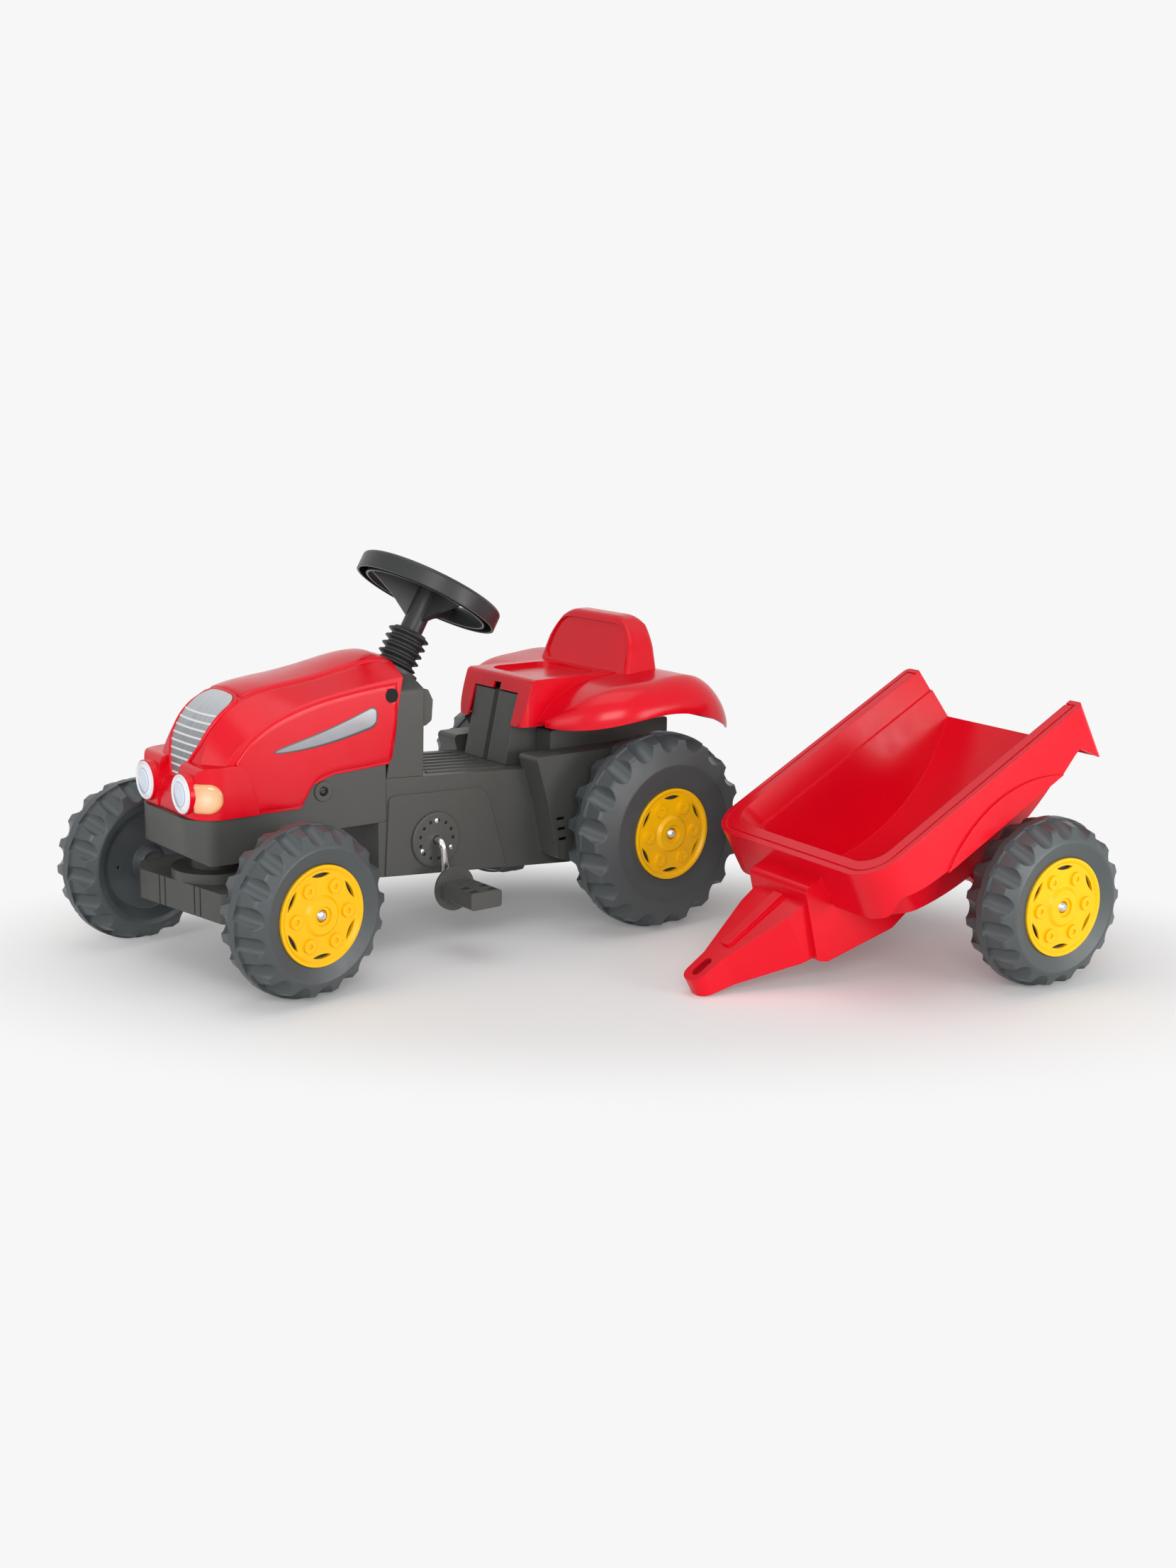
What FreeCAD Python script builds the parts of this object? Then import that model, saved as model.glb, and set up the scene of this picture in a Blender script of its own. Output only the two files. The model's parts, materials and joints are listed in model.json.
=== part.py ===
import FreeCAD, Part
import math
import os

# A pedal tractor for a small child, with a tipping trailer standing beside it.
# +X points forwards, +Y to the driver's left and +Z up.
# The floor is Z = 0 and the rear axle stands over X = 0. Sizes are in millimetres, angles in degrees.

Vector = FreeCAD.Vector

# Fits and walls
overrun = 5.0
running_fit = 0.05
push_fit = 0.02
joined = 0.000001
piece_gap = 0.3
body_gap = 0.6
shell_wall = 3.5
full_turn = 360.0

# Wheels
wheelbase = 560.0
half_track = 173.0
front_tyre_radius = 105.0
rear_tyre_radius = 132.0
tyre_width = 78.0
tyre_wall = 4.0
tyre_round = 5.0
ridge_width = 13.0
ridge_height = 2.5
shoulder_drop = 7.0
shoulder_inset = 8.0
sidewall_share = 0.45
sidewall_inset = 2.5
sidewall_step = 12.0
rim_lip_inset = 6.0
lug_count = 18
lug_radius_share = 0.125
lug_start_share = 0.03
lug_depth_share = 0.085
lug_skew_share = 0.03
lug_offset_share = 0.5
wheel_hub_radius = 17.0
wheel_dish_depth = 12.0
wheel_core_radius = 24.0
vent_radius = 2.0
vent_circle = 45.0

# Wheel rims and push caps
rim_radius = 61.0
rim_recess_depth = 13.0
rim_web_low = 4.0
rim_web_top = 7.0
rim_lip_top = 10.0
rim_lip_width = 3.5
rim_foot_width = 6.0
rim_edge_round = 1.0
rim_dome_top = 11.0
rim_dome_radius = 25.0
rim_dome_slope = 4.0
rim_eye_radius = 12.0
rim_eye_depth = 3.0
rim_boss_count = 6
rim_boss_circle = 38.0
rim_boss_radius = 8.5
rim_boss_rise = 3.5
rim_dimple_radius = 3.0
rim_dimple_depth = 2.0
rim_slot_circle = 49.0
rim_slot_length = 27.0
rim_slot_width = 5.5
axle_radius = 5.0
axle_stub = 8.0
cap_radius = 7.0
cap_height = 11.0
cap_shoulder = 4.0

# Places along the chassis
tub_rear_x = -95.0
tub_length = 470.0
tub_front_x = tub_rear_x + tub_length
deck_length = 202.0
deck_rear_x = tub_rear_x + deck_length

# Front frame
frame_half_width = 80.0
frame_lap = 12.0
frame_rear_x = tub_front_x - frame_lap
frame_reach = 67.0
frame_front_x = wheelbase + frame_reach
frame_rise = 43.0
frame_low_z = front_tyre_radius + frame_rise
frame_height = 97.0
frame_top_z = frame_low_z + frame_height
frame_nose_round = 34.0
frame_wall = 4.0
frame_seat_share = 0.247
frame_shelf_share = 0.582
frame_seat_z = frame_low_z + frame_seat_share * frame_height
frame_shelf_z = frame_low_z + frame_shelf_share * frame_height
frame_outline_shares = [
    (0.0, frame_seat_share),
    (0.466, frame_seat_share),
    (0.519, 0.0),
    (0.92, 0.0),
    (1.0, 0.124),
    (1.0, frame_shelf_share),
    (0.466, frame_shelf_share),
    (0.405, 0.856),
    (0.292, 0.959),
    (0.0, 1.0),
]
frame_boss_shares = [(0.341, 0.763)]
frame_boss_radius = 12.5
frame_boss_rise = 2.0
frame_boss_bore = 6.0
pin_boss_radius = 18.0
pin_boss_height = 40.0
pin_boss_top = frame_low_z + pin_boss_height
shaft_slot_half = 14.0
shaft_slot_length = 34.0
shaft_slot_depth = 49.0

# Front axle
beam_half = 118.0
beam_drop = 25.0
beam_low = front_tyre_radius - beam_drop
beam_height = 37.0
beam_top = beam_low + beam_height
beam_wall = 4.0
beam_rear = 26.0
beam_front = 54.0
beam_shoulder = 30.0
beam_flat_share = 0.72
beam_round = 8.0
beam_groove = 2.5
beam_groove_shares = [-0.88, -0.78, -0.36, -0.26, 0.26, 0.36, 0.78, 0.88]
sleeve_radius = 14.0
turntable_radius = 54.0
turntable_thickness = 12.0
pivot_boss_radius = 30.0
tongue_rise = 1.0
tongue_thickness = 9.0
tongue_low = beam_low + tongue_rise
tongue_top = tongue_low + tongue_thickness
tongue_half = 22.0
tongue_overhang = 21.0
fork_start_share = 0.714
fork_play = 2.0
kingpin_radius = 6.0
kingpin_head_radius = 10.0
kingpin_head = 5.0
kingpin_stub = 8.0

# Steering
column_tilt = 30.0
wheel_setback = 117.0
wheel_rise = 202.0
wheel_centre_x = frame_rear_x - wheel_setback
wheel_centre_z = frame_top_z + wheel_rise
steer_rest_angle = 8.8
rod_radius = 5.0
steer_arm = 45.0
steer_pin_rise = 2.8
steer_pin_length = 32.0
rod_bend = 9.0
tilt_sine = math.sin(math.radians(column_tilt))
tilt_cosine = math.cos(math.radians(column_tilt))
column_length = (wheel_centre_z - tongue_top - steer_pin_rise - steer_arm * tilt_sine) / tilt_cosine
fork_pin_rise = steer_pin_rise + tongue_thickness / 2
fork_pin_x = wheel_centre_x + column_length * tilt_sine - steer_arm * tilt_cosine
fork_pin_x += fork_pin_rise * tilt_sine / tilt_cosine
steer_lever = wheelbase - fork_pin_x
steer_swing = steer_lever * math.sin(math.radians(steer_rest_angle)) / steer_arm
column_rest_angle = math.degrees(math.asin(steer_swing))
wheel_rim_radius = 97.0
wheel_rim_width = 16.0
wheel_rim_height = 24.0
wheel_rim_wall = 3.0
wheel_rim_round = 5.0
spoke_count = 3
spoke_phase = 60.0
spoke_root_width = 34.0
spoke_end_width = 22.0
spoke_thickness = 5.0
spoke_web = 5.0
hub_plate_radius = 34.0
hub_plate_top = 9.0
hub_radius = 15.0
hub_length = 62.0
hub_socket_depth = 6.0
cap_pad_radius = 25.0
cap_pad_height = 8.0
cap_pad_edge = 3.0
cap_pad_crown = 6.0
bellows_top = 58.0
bellows_length = 52.0
bellows_rib_count = 5
bellows_rib_radius = 28.0
bellows_root_radius = 22.0
bellows_wall = 2.5
collar_radius = 33.0
collar_height = 6.0
collar_stem_radius = 11.0
collar_stem_length = 14.0

# Chassis tub
tub_half_width = 80.0
tub_wall = 4.0
tub_drop = 54.0
tub_low_z = rear_tyre_radius - tub_drop
tub_top_drop = 2.0
tub_top_z = rear_tyre_radius * 2 - tub_top_drop
tub_height = tub_top_z - tub_low_z
deck_rise = 55.0
deck_front_z = frame_seat_z + deck_rise
deck_rear_share = 0.734
deck_rear_z = tub_low_z + deck_rear_share * tub_height
tub_front_share = 0.125
tub_tail_shares = [(0.0, 0.391), (0.163, 0.033), (0.842, 0.0)]
tub_rounds = [4.0, 0.0, 0.0, 0.0, 0.0, 4.0, 4.0, 4.0, 4.0, 4.0]
panel_rise = 2.5
panel_outline_shares = [
    (0.981, 0.128),
    (0.968, 0.685),
    (0.653, 0.658),
    (0.583, 0.049),
]
panel_rounds = [2.0, 8.0, 26.0, 2.0]
housing_clearance = 16.0
housing_half_width = half_track - tyre_width / 2 - housing_clearance
housing_outline_shares = [
    (1.25, 0.864),
    (1.15, 0.511),
    (1.07, 0.103),
    (0.95, 0.065),
    (0.25, 0.065),
    (0.15, 0.228),
    (0.15, 0.864),
]
housing_round = 6.0
housing_slot_shares = [
    (1.05, 0.397),
    (1.04, 0.321),
    (1.03, 0.245),
]
housing_slot_length = 14.0
housing_slot_height = 4.0
foot_rib_count = 7
foot_rib_height = 1.6
foot_rib_width = 4.0
foot_rib_spread = 60.0
foot_rib_shares = [(0.25, 0.72)]
bottom_cover_thickness = 3.0

# Dash cowl, its front edge on the seam with the hood
seam_setback = 1.0
seam_run = 23.5
seam_rise = 99.0
seam_foot_x = frame_rear_x - seam_setback
seam_top_x = seam_foot_x - seam_run
seam_top_z = frame_top_z + seam_rise
cowl_length = 78.0
cowl_rear_x = frame_rear_x - cowl_length
cowl_rise = 105.0
cowl_top_z = frame_top_z + cowl_rise
cowl_height = 137.0
cowl_low_z = cowl_top_z - cowl_height
cowl_crown_shares = [(0.603, 1.0), (0.333, 1.0), (0.269, 0.949)]
cowl_foot_share = 0.295
cowl_round = 5.0
cowl_shoulder_half = 49.0
cowl_shoulder_drop = 14.0
console_outline_shares = [
    (0.397, 0.92),
    (0.09, 0.869),
    (0.0, 0.766),
    (0.026, 0.577),
    (0.141, 0.533),
    (0.397, 0.533),
]
console_half_width = 68.0
console_round = 4.0
post_top_shares = [(0.372, 0.533), (0.167, 0.533)]
post_half_width = 34.0

# Hood
hood_setback = 43.0
hood_reach = 50.0
hood_rear_x = frame_rear_x - hood_setback
hood_length = wheelbase + hood_reach - hood_rear_x
hood_low_z = frame_shelf_z + body_gap
hood_height = 166.0
hood_half_width = 84.0
hood_wall = 3.0
hood_station_shares = [
    (0.0, 1.0, 0.97, 0.904, 0.583, 0.952),
    (0.345, 0.958, 0.922, 0.837, 0.583, 0.976),
    (0.621, 0.886, 0.855, 0.735, 0.571, 1.0),
    (0.776, 0.831, 0.789, 0.608, 0.56, 1.0),
    (0.89, 0.693, 0.645, 0.428, 0.56, 0.964),
    (0.959, 0.476, 0.434, 0.247, 0.595, 0.869),
    (1.0, 0.247, 0.217, 0.139, 0.619, 0.762),
]
pod_outline_shares = [
    (0.77, 0.0),
    (0.82, 0.385),
    (1.02, 0.37),
    (1.041, 0.22),
    (1.041, 0.0),
]
pod_rounds = [0.0, 26.0, 10.0, 6.0, 0.0]
pod_inner_y = 26.0
pod_outer_y = 87.0
pod_nose_round = 34.0
chin_outline_shares = [
    (0.952, 0.0),
    (1.035, 0.0),
    (1.03, 0.127),
    (1.0, 0.247),
    (0.952, 0.271),
]
chin_half_width = 26.0
lamp_y = 49.0
lamp_rise = 29.0
lamp_boss_radius = 25.0
lamp_boss_rise = 5.0
lamp_radius = 21.0
lamp_recess = 2.0
lamp_dome = 5.0
indicator_rise = 8.0
indicator_height = 36.0
indicator_length = 28.0
indicator_inner_y = 76.0
indicator_thickness = 4.0
indicator_round = 17.0
grille_outline_shares = [
    (0.12, 0.26),
    (0.29, 0.38),
    (0.43, 0.5),
    (0.48, 0.65),
    (0.48, 0.92),
]
grille_rounds = [6.0, 12.0, 14.0, 12.0, 0.0]
grille_setback = 14.0
grille_top_round = 16.0
grille_thickness = 1.6
grille_bar_count = 8
grille_bar_height = 2.0
grille_bar_rise = 0.8
grille_bar_shares = [(0.32, 0.69)]
plug_rise = 127.0
plug_margin = 14.5
plug_side_share = 0.961
plug_radius = 9.0
plug_head = 2.5
plug_depth = 10.0

# Seat column
column_half_width = 48.0
column_reach = 51.0
column_top_reach = 31.0
column_overlap = 19.0
column_rise = 47.0
column_groove = 10.0
column_groove_depth = 5.0

# Seat
seat_length = 300.0
seat_rear_x = deck_rear_x + column_reach - seat_length
seat_drop = 10.0
seat_low_z = tub_top_z - seat_drop
seat_height = 80.0
seat_half_width = 191.0
seat_wall = 3.5
fender_inner_y = 66.0
fender_station_shares = [
    (0.89, 0.5, 0.225, 0.32, 0.03),
    (0.8, 0.74, 0.23, 0.62, 0.1),
    (0.667, 0.92, 0.34, 0.87, 0.16),
    (0.453, 1.0, 0.463, 0.98, 0.18),
    (0.247, 1.0, 0.36, 1.0, 0.18),
    (0.1, 0.93, 0.15, 0.72, 0.16),
    (0.0, 0.785, 0.0, 0.14, 0.06),
]
fender_bulge_share = 0.3
pan_half_width = 76.0
pan_outline_shares = [
    (0.98, 0.212),
    (0.917, 0.988),
    (0.26, 0.988),
    (0.24, 0.6),
    (0.24, 0.212),
]
pan_round = 8.0
pan_corner = 14.0
dish_shares = [(0.493, 0.853)]
dish_half_width = 60.0
dish_depth = 6.0
dish_round = 26.0
slot_half_width = 50.0
slot_share = 0.74
notch_half_width = 8.0
notch_share = 0.85
rib_y = 40.0
rib_thickness = 3.0
rib_shares = [(0.273, 0.753)]
back_side_shares = [
    (0.46, 0.9),
    (0.383, 1.9),
    (0.307, 1.9),
    (0.267, 0.9),
]
back_edge_round = 9.0
back_half_low = 102.0
back_half_top = 84.0
back_corner = 24.0
back_round = 9.0
back_panel_margin = 9.0
back_panel_depth = 3.0
back_panel_round = 13.0

# Pedal crank
crank_rise = 8.0
crank_z = rear_tyre_radius + crank_rise
crank_reach_share = 0.823
crank_rest_angle = 264.0
crank_throw = 58.0
crank_arm_y = 100.0
crank_end_y = 184.0
crank_bush_radius = 11.0
crank_bush_length = 12.0
crank_cover_radius = 36.0
crank_cover_thickness = 4.0
crank_cover_round = 2.0
crank_cover_hole_count = 13
crank_cover_hole_radius = 2.2
crank_cover_hole_circle = 25.0
pedal_inner_y = 111.0
pedal_outer_y = 190.0
pedal_flange_radius = 29.0
pedal_flange_thickness = 9.0
pedal_half_width = 23.0
pedal_half_height = 11.0
pedal_round = 4.0
pedal_slot = 12.0
pedal_slot_shares = [0.62, 0.86]
pedal_rib_depth = 2.0
pedal_rib_shares = [0.22, 0.34, 0.46]

# Chain drive
chain_pitch = 12.7
drive_teeth = 18
driven_teeth = 14
chain_y = -22.0
roller_radius = 2.6
roller_gap = 0.5
chain_gap = 2.2
chain_plate = 1.6
chain_half_height = 4.2
sprocket_thickness = 3.0
tooth_rise = 1.6
sprocket_hub_radius = 12.0
sprocket_hub_half = 7.0

# Rear hitch
hitch_rise = 40.0
hitch_top_z = rear_tyre_radius + hitch_rise
hitch_height = 26.0
hitch_reach = 42.0
hitch_half_width = 26.0
hitch_round = 16.0
hitch_pin_radius = 6.0
hitch_stem_radius = 4.0
hitch_pin_height = 24.0
hitch_pin_chamfer = 2.0
hitch_flange_half_width = 40.0
hitch_flange_half_height = 30.0
hitch_flange = 5.0

# Trailer
trailer_axle_x = -238.0
trailer_axle_y = 474.0
trailer_yaw = -5.56
trailer_wheel_radius = 105.0
box_rear_x = -170.0
box_length = 374.0
box_front_x = box_rear_x + box_length
box_half_width = 160.0
box_rise = 72.0
box_rim_z = trailer_wheel_radius + box_rise
box_wall = 3.5
box_flange = 23.0
box_step = 4.0
box_step_share = 0.83
box_front_round = 46.0
box_mouth_round = 28.0
box_rear_round = 8.0
box_floor_half = 97.0
box_mouth_half = box_half_width - box_flange - box_step
box_floor_shares = [(0.86, 0.42), (0.56, 0.265), (-0.014, 0.62)]
skirt_outline_shares = [
    (1.03, 0.62),
    (1.03, 1.06),
    (-0.03, 1.06),
    (-0.03, 0.6),
    (0.01, 0.55),
    (0.075, 0.72),
    (0.1, 0.71),
    (0.18, 0.645),
    (0.73, 0.66),
    (0.83, 0.68),
    (0.92, 0.73),
    (0.965, 0.63),
]
skirt_rounds = [0.0, 0.0, 0.0, 0.0, 3.0, 5.0, 4.0, 12.0, 40.0, 30.0, 9.0, 9.0]
skirt_gap_shares = [(0.39, 0.3), (0.39, 0.6), (0.29, 0.76)]
skirt_gap_round = 10.0
tail_lip_share = 0.565
arch_half = 103.0
arch_low_share = 0.655
arch_top_share = 0.842
arch_rise = 3.0
groove_inset = 7.0
groove_width = 3.0
groove_depth = 1.5
block_half_width = 56.0
block_outline_shares = [
    (0.925, 0.847),
    (1.067, 0.87),
    (1.134, 0.35),
    (1.102, 0.294),
    (0.829, 0.153),
    (0.631, 0.215),
    (0.615, 0.373),
]
block_rounds = [0.0, 8.0, 6.0, 6.0, 15.0, 0.0, 0.0]
tongue_plan_shares = [
    (1.064, 0.282),
    (1.155, 0.26),
    (1.39, 0.107),
]
tongue_tip_x = 394.0
tongue_tip_half = 17.0
tongue_side_shares = [
    (1.064, 0.757),
    (1.155, 0.746),
    (1.508, 0.701),
    (1.508, 0.565),
    (1.176, 0.373),
    (1.064, 0.339),
]
tongue_tip_low = 100.0
tongue_round = 15.0
tongue_rib_shares = [(1.08, 0.76), (1.34, 0.72)]
tongue_rib_half = 9.0
tongue_rib_rise = 4.0
tongue_rib_round = 6.0
eye_x = 370.0
eye_length = 30.0
eye_width = 14.0
saddle_y = 100.0
saddle_thickness = 12.0
saddle_outline_shares = [
    (0.337, 0.463),
    (0.572, 0.373),
    (0.495, -0.073),
    (0.414, -0.073),
]
saddle_round = 10.0


def line(start, end):
    return Part.makeLine(start, end)


def on_side(u, v):
    return Vector(u, 0, v)


def on_plan(u, v):
    return Vector(u, v, 0)


def on_front(u, v):
    return Vector(0, u, v)


def scaled(shares, origin, span):
    """Turn rows of shares into points, from an origin over a span in each direction."""
    points = []
    for row in shares:
        points.append((origin[0] + row[0] * span[0], origin[1] + row[1] * span[1]))
    return points


def inset(points, distances):
    """Move each edge of an outline inwards; edge i runs from point i to the next one."""
    count = len(points)
    if not isinstance(distances, list):
        distances = [distances] * count
    area = 0
    for i in range(count):
        after = points[(i + 1) % count]
        area += points[i][0] * after[1] - after[0] * points[i][1]
    turn = 1 if area > 0 else -1
    lines = []
    for i in range(count):
        after = points[(i + 1) % count]
        length = math.hypot(after[0] - points[i][0], after[1] - points[i][1])
        du = (after[0] - points[i][0]) / length
        dv = (after[1] - points[i][1]) / length
        shift = turn * distances[i]
        lines.append((points[i][0] - dv * shift, points[i][1] + du * shift, du, dv))
    moved = []
    for i in range(count):
        first = lines[i - 1]
        second = lines[i]
        cross = first[2] * second[3] - first[3] * second[2]
        along = ((second[0] - first[0]) * second[3] - (second[1] - first[1]) * second[2]) / cross
        moved.append((first[0] + first[2] * along, first[1] + first[3] * along))
    return moved


def rounded_wire(points, radii, place):
    """A closed outline through corner points, each corner rounded by its own radius."""
    count = len(points)
    if not isinstance(radii, list):
        radii = [radii] * count
    starts = []
    middles = []
    ends = []
    for i in range(count):
        corner = Vector(points[i][0], points[i][1], 0)
        before = Vector(points[i - 1][0], points[i - 1][1], 0) - corner
        after = Vector(points[(i + 1) % count][0], points[(i + 1) % count][1], 0) - corner
        before.normalize()
        after.normalize()
        half = before.getAngle(after) / 2
        reach = radii[i] / math.tan(half)
        middle = before + after
        if radii[i] > 0:
            middle.normalize()
            middle = corner + middle * (radii[i] / math.sin(half) - radii[i])
        else:
            middle = corner
        starts.append(corner + before * reach)
        middles.append(middle)
        ends.append(corner + after * reach)
    edges = []
    for i in range(count):
        if radii[i] > 0:
            spots = [place(p.x, p.y) for p in (starts[i], middles[i], ends[i])]
            edges.append(Part.Arc(*spots).toShape())
        following = starts[(i + 1) % count]
        if ends[i].distanceToPoint(following) > joined:
            edges.append(line(place(ends[i].x, ends[i].y), place(following.x, following.y)))
    return Part.Wire(Part.__sortEdges__(edges))


def side_prism(points, radii, y_low, y_high):
    face = Part.Face(rounded_wire(points, radii, on_side))
    face.translate(Vector(0, y_low, 0))
    return face.extrude(Vector(0, y_high - y_low, 0))


def plan_prism(points, radii, z_low, z_high):
    face = Part.Face(rounded_wire(points, radii, on_plan))
    face.translate(Vector(0, 0, z_low))
    return face.extrude(Vector(0, 0, z_high - z_low))


def front_prism(points, radii, x_low, x_high):
    face = Part.Face(rounded_wire(points, radii, on_front))
    face.translate(Vector(x_low, 0, 0))
    return face.extrude(Vector(x_high - x_low, 0, 0))


def block(x_low, x_high, y_low, y_high, z_low, z_high):
    return Part.makeBox(x_high - x_low, y_high - y_low, z_high - z_low, Vector(x_low, y_low, z_low))


def rod_x(y, z, radius, x_low, x_high):
    return Part.makeCylinder(radius, x_high - x_low, Vector(x_low, y, z), Vector(1, 0, 0))


def rod_y(x, z, radius, y_low, y_high):
    return Part.makeCylinder(radius, y_high - y_low, Vector(x, y_low, z), Vector(0, 1, 0))


def rod_z(x, y, radius, z_low, z_high):
    return Part.makeCylinder(radius, z_high - z_low, Vector(x, y, z_low), Vector(0, 0, 1))


def turned_y(points, radii):
    """Turn an outline of (along, radius) points about the Y axis."""
    face = Part.Face(rounded_wire(points, radii, on_front))
    return face.revolve(Vector(0, 0, 0), Vector(0, 1, 0), full_turn)


def turned_z(points, radii):
    """Turn an outline of (radius, along) points about the Z axis."""
    face = Part.Face(rounded_wire(points, radii, on_side))
    return face.revolve(Vector(0, 0, 0), Vector(0, 0, 1), full_turn)


def bent_rod(points, radius, bend):
    """A round rod along a line of points, with each inner corner bent."""
    edges = []
    start = points[0]
    for i in range(1, len(points) - 1):
        before = points[i - 1] - points[i]
        after = points[i + 1] - points[i]
        before.normalize()
        after.normalize()
        half = before.getAngle(after) / 2
        reach = bend / math.tan(half)
        middle = before + after
        middle.normalize()
        first = points[i] + before * reach
        last = points[i] + after * reach
        edges.append(line(start, first))
        edges.append(Part.Arc(first, points[i] + middle * (bend / math.sin(half) - bend), last).toShape())
        start = last
    edges.append(line(start, points[-1]))
    path = Part.Wire(edges)
    section = Part.Wire(Part.makeCircle(radius, points[0], points[1] - points[0]))
    return path.makePipeShell([section], True, False)


def mirrored(shape):
    return shape.mirror(Vector(0, 0, 0), Vector(0, 1, 0))


def fused(shapes):
    return shapes[0].multiFuse(shapes[1:]).removeSplitter()


def cut_all(shape, tools):
    return shape.cut(Part.makeCompound(tools))


def export(name, shape):
    shape.exportStep(os.path.join("parts", name + ".step"))


def tyre(radius):
    """A hollow tyre with its hub, turned about Y, the outer side towards +Y."""
    half = tyre_width / 2
    floor = half - rim_recess_depth
    seat = rim_radius + piece_gap
    bore = axle_radius + running_fit
    ridge = ridge_width / 2
    tread = radius - ridge_height
    shoulder_y = half - shoulder_inset
    shoulder_r = radius - shoulder_drop
    side_r = rim_radius + sidewall_share * (radius - rim_radius)
    inner_r = rim_radius + sidewall_step
    dish = half - wheel_dish_depth
    outline = [
        (-half, bore),
        (-half, wheel_hub_radius),
        (-dish, wheel_core_radius),
        (-dish, rim_radius),
        (-half + sidewall_inset, inner_r),
        (-half, side_r),
        (-shoulder_y, shoulder_r),
        (-ridge, tread),
        (-ridge, radius),
        (ridge, radius),
        (ridge, tread),
        (shoulder_y, shoulder_r),
        (half, side_r),
        (half - sidewall_inset, inner_r),
        (half - rim_lip_inset, seat),
        (floor, seat),
        (floor, bore),
    ]
    soft = tyre_round
    radii = [0, 0, 0, soft, soft, soft, soft, 0, 0, 0, 0, soft, soft, soft, 0, 0, 0]
    body = turned_y(outline, radii)
    lug_radius = radius * lug_radius_share
    lug_start = radius * lug_start_share
    lug_depth = radius * lug_depth_share
    start_y = ridge + ridge_height
    cuts = []
    for side in (1, -1):
        for i in range(lug_count):
            start = Vector(0, side * start_y, tread - lug_start + lug_radius)
            end = Vector(radius * lug_skew_share, side * shoulder_y, shoulder_r - lug_depth + lug_radius)
            along = end - start
            lug = Part.makeCylinder(lug_radius, along.Length + tyre_width, start, along)
            place = i if side > 0 else i + lug_offset_share
            lug.rotate(Vector(0, 0, 0), Vector(0, 1, 0), full_turn * place / lug_count)
            cuts.append(lug)
    crown = shoulder_r - lug_depth - tyre_wall
    inner_half = half - sidewall_inset - tyre_wall
    core_out = floor - tyre_wall
    core_in = dish - tyre_wall
    low = seat + tyre_wall
    high = side_r - tyre_wall
    cavity = [
        (-core_in, wheel_core_radius + tyre_wall),
        (core_out, wheel_core_radius),
        (core_out, low),
        (inner_half, low + tyre_wall),
        (inner_half, high),
        (shoulder_y - shoulder_inset, crown),
        (-shoulder_y + shoulder_inset, crown),
        (-inner_half, high),
        (-inner_half, low + tyre_wall),
        (-core_in, low),
    ]
    cuts.append(turned_y(cavity, 0))
    cuts.append(rod_y(vent_circle, 0, vent_radius, -half, 0))
    return cut_all(body, cuts)


def rim():
    """The rim cover on its seat at Y = 0, facing +Y."""
    eye = cap_radius + body_gap
    outline = [
        (0, eye),
        (0, eye + rim_foot_width),
        (rim_web_low, rim_dome_radius - rim_dome_slope),
        (rim_web_low, rim_radius - rim_foot_width * 2),
        (0, rim_radius - rim_foot_width),
        (0, rim_radius),
        (rim_lip_top, rim_radius),
        (rim_lip_top, rim_radius - rim_lip_width),
        (rim_web_top, rim_radius - rim_lip_width * 2),
        (rim_web_top, rim_dome_radius),
        (rim_dome_top, rim_dome_radius - rim_dome_slope),
        (rim_dome_top, rim_eye_radius),
        (rim_dome_top - rim_eye_depth, rim_eye_radius),
        (rim_dome_top - rim_eye_depth, eye),
    ]
    edge = rim_edge_round
    bodies = [turned_y(outline, [0, 0, 0, 0, 0, 0, edge, edge, 0, 0, edge, 0, 0, 0])]
    cuts = []
    for i in range(rim_boss_count):
        angle = math.radians(full_turn * i / rim_boss_count)
        x = rim_boss_circle * math.cos(angle)
        z = rim_boss_circle * math.sin(angle)
        top = rim_web_top + rim_boss_rise
        bodies.append(rod_y(x, z, rim_boss_radius, (rim_web_low + rim_web_top) / 2, top))
        cuts.append(rod_y(x, z, rim_dimple_radius, top - rim_dimple_depth, top + overrun))
        low = Vector(-rim_slot_length / 2, 0, rim_slot_circle)
        high = Vector(rim_slot_length / 2, 0, rim_slot_circle)
        outer = Part.Arc(low, Vector(0, 0, rim_slot_circle + rim_slot_width / 2), high).toShape()
        inner = Part.Arc(high, Vector(0, 0, rim_slot_circle - rim_slot_width / 2), low).toShape()
        lens = Part.Face(Part.Wire([outer, inner])).extrude(Vector(0, rim_lip_top + overrun, 0))
        lens.rotate(Vector(0, 0, 0), Vector(0, 1, 0), full_turn * i / rim_boss_count)
        cuts.append(lens)
    return cut_all(fused(bodies), cuts)


def axle_cap():
    """A push cap over the end of an axle, on its seat at Y = 0."""
    bore = axle_radius + push_fit
    outline = [
        (body_gap, bore),
        (body_gap, cap_radius),
        (cap_height - cap_shoulder, cap_radius),
        (cap_height, cap_radius / 2),
        (cap_height, 0),
        (axle_stub, 0),
        (axle_stub, bore),
    ]
    return turned_y(outline, 0)


def wheel_set(name, radius, place):
    """Export a pair of wheels; place carries a shape from its axle centre to the model."""
    seat = half_track + tyre_width / 2 - rim_recess_depth
    one_tyre = tyre(radius)
    one_tyre.translate(Vector(0, half_track, 0))
    one_rim = rim()
    one_rim.translate(Vector(0, seat, 0))
    one_cap = axle_cap()
    one_cap.translate(Vector(0, seat, 0))
    export(name + "_left_tyre", place(one_tyre))
    export(name + "_left_rim", place(one_rim))
    export(name + "_right_tyre", place(mirrored(one_tyre)))
    export(name + "_right_rim", place(mirrored(one_rim)))
    export(name + "_axle_caps", place(Part.makeCompound([one_cap, mirrored(one_cap)])))
    end = seat + axle_stub - push_fit
    export(name + "_axle_rod", place(rod_y(0, 0, axle_radius, -end, end)))


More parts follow.
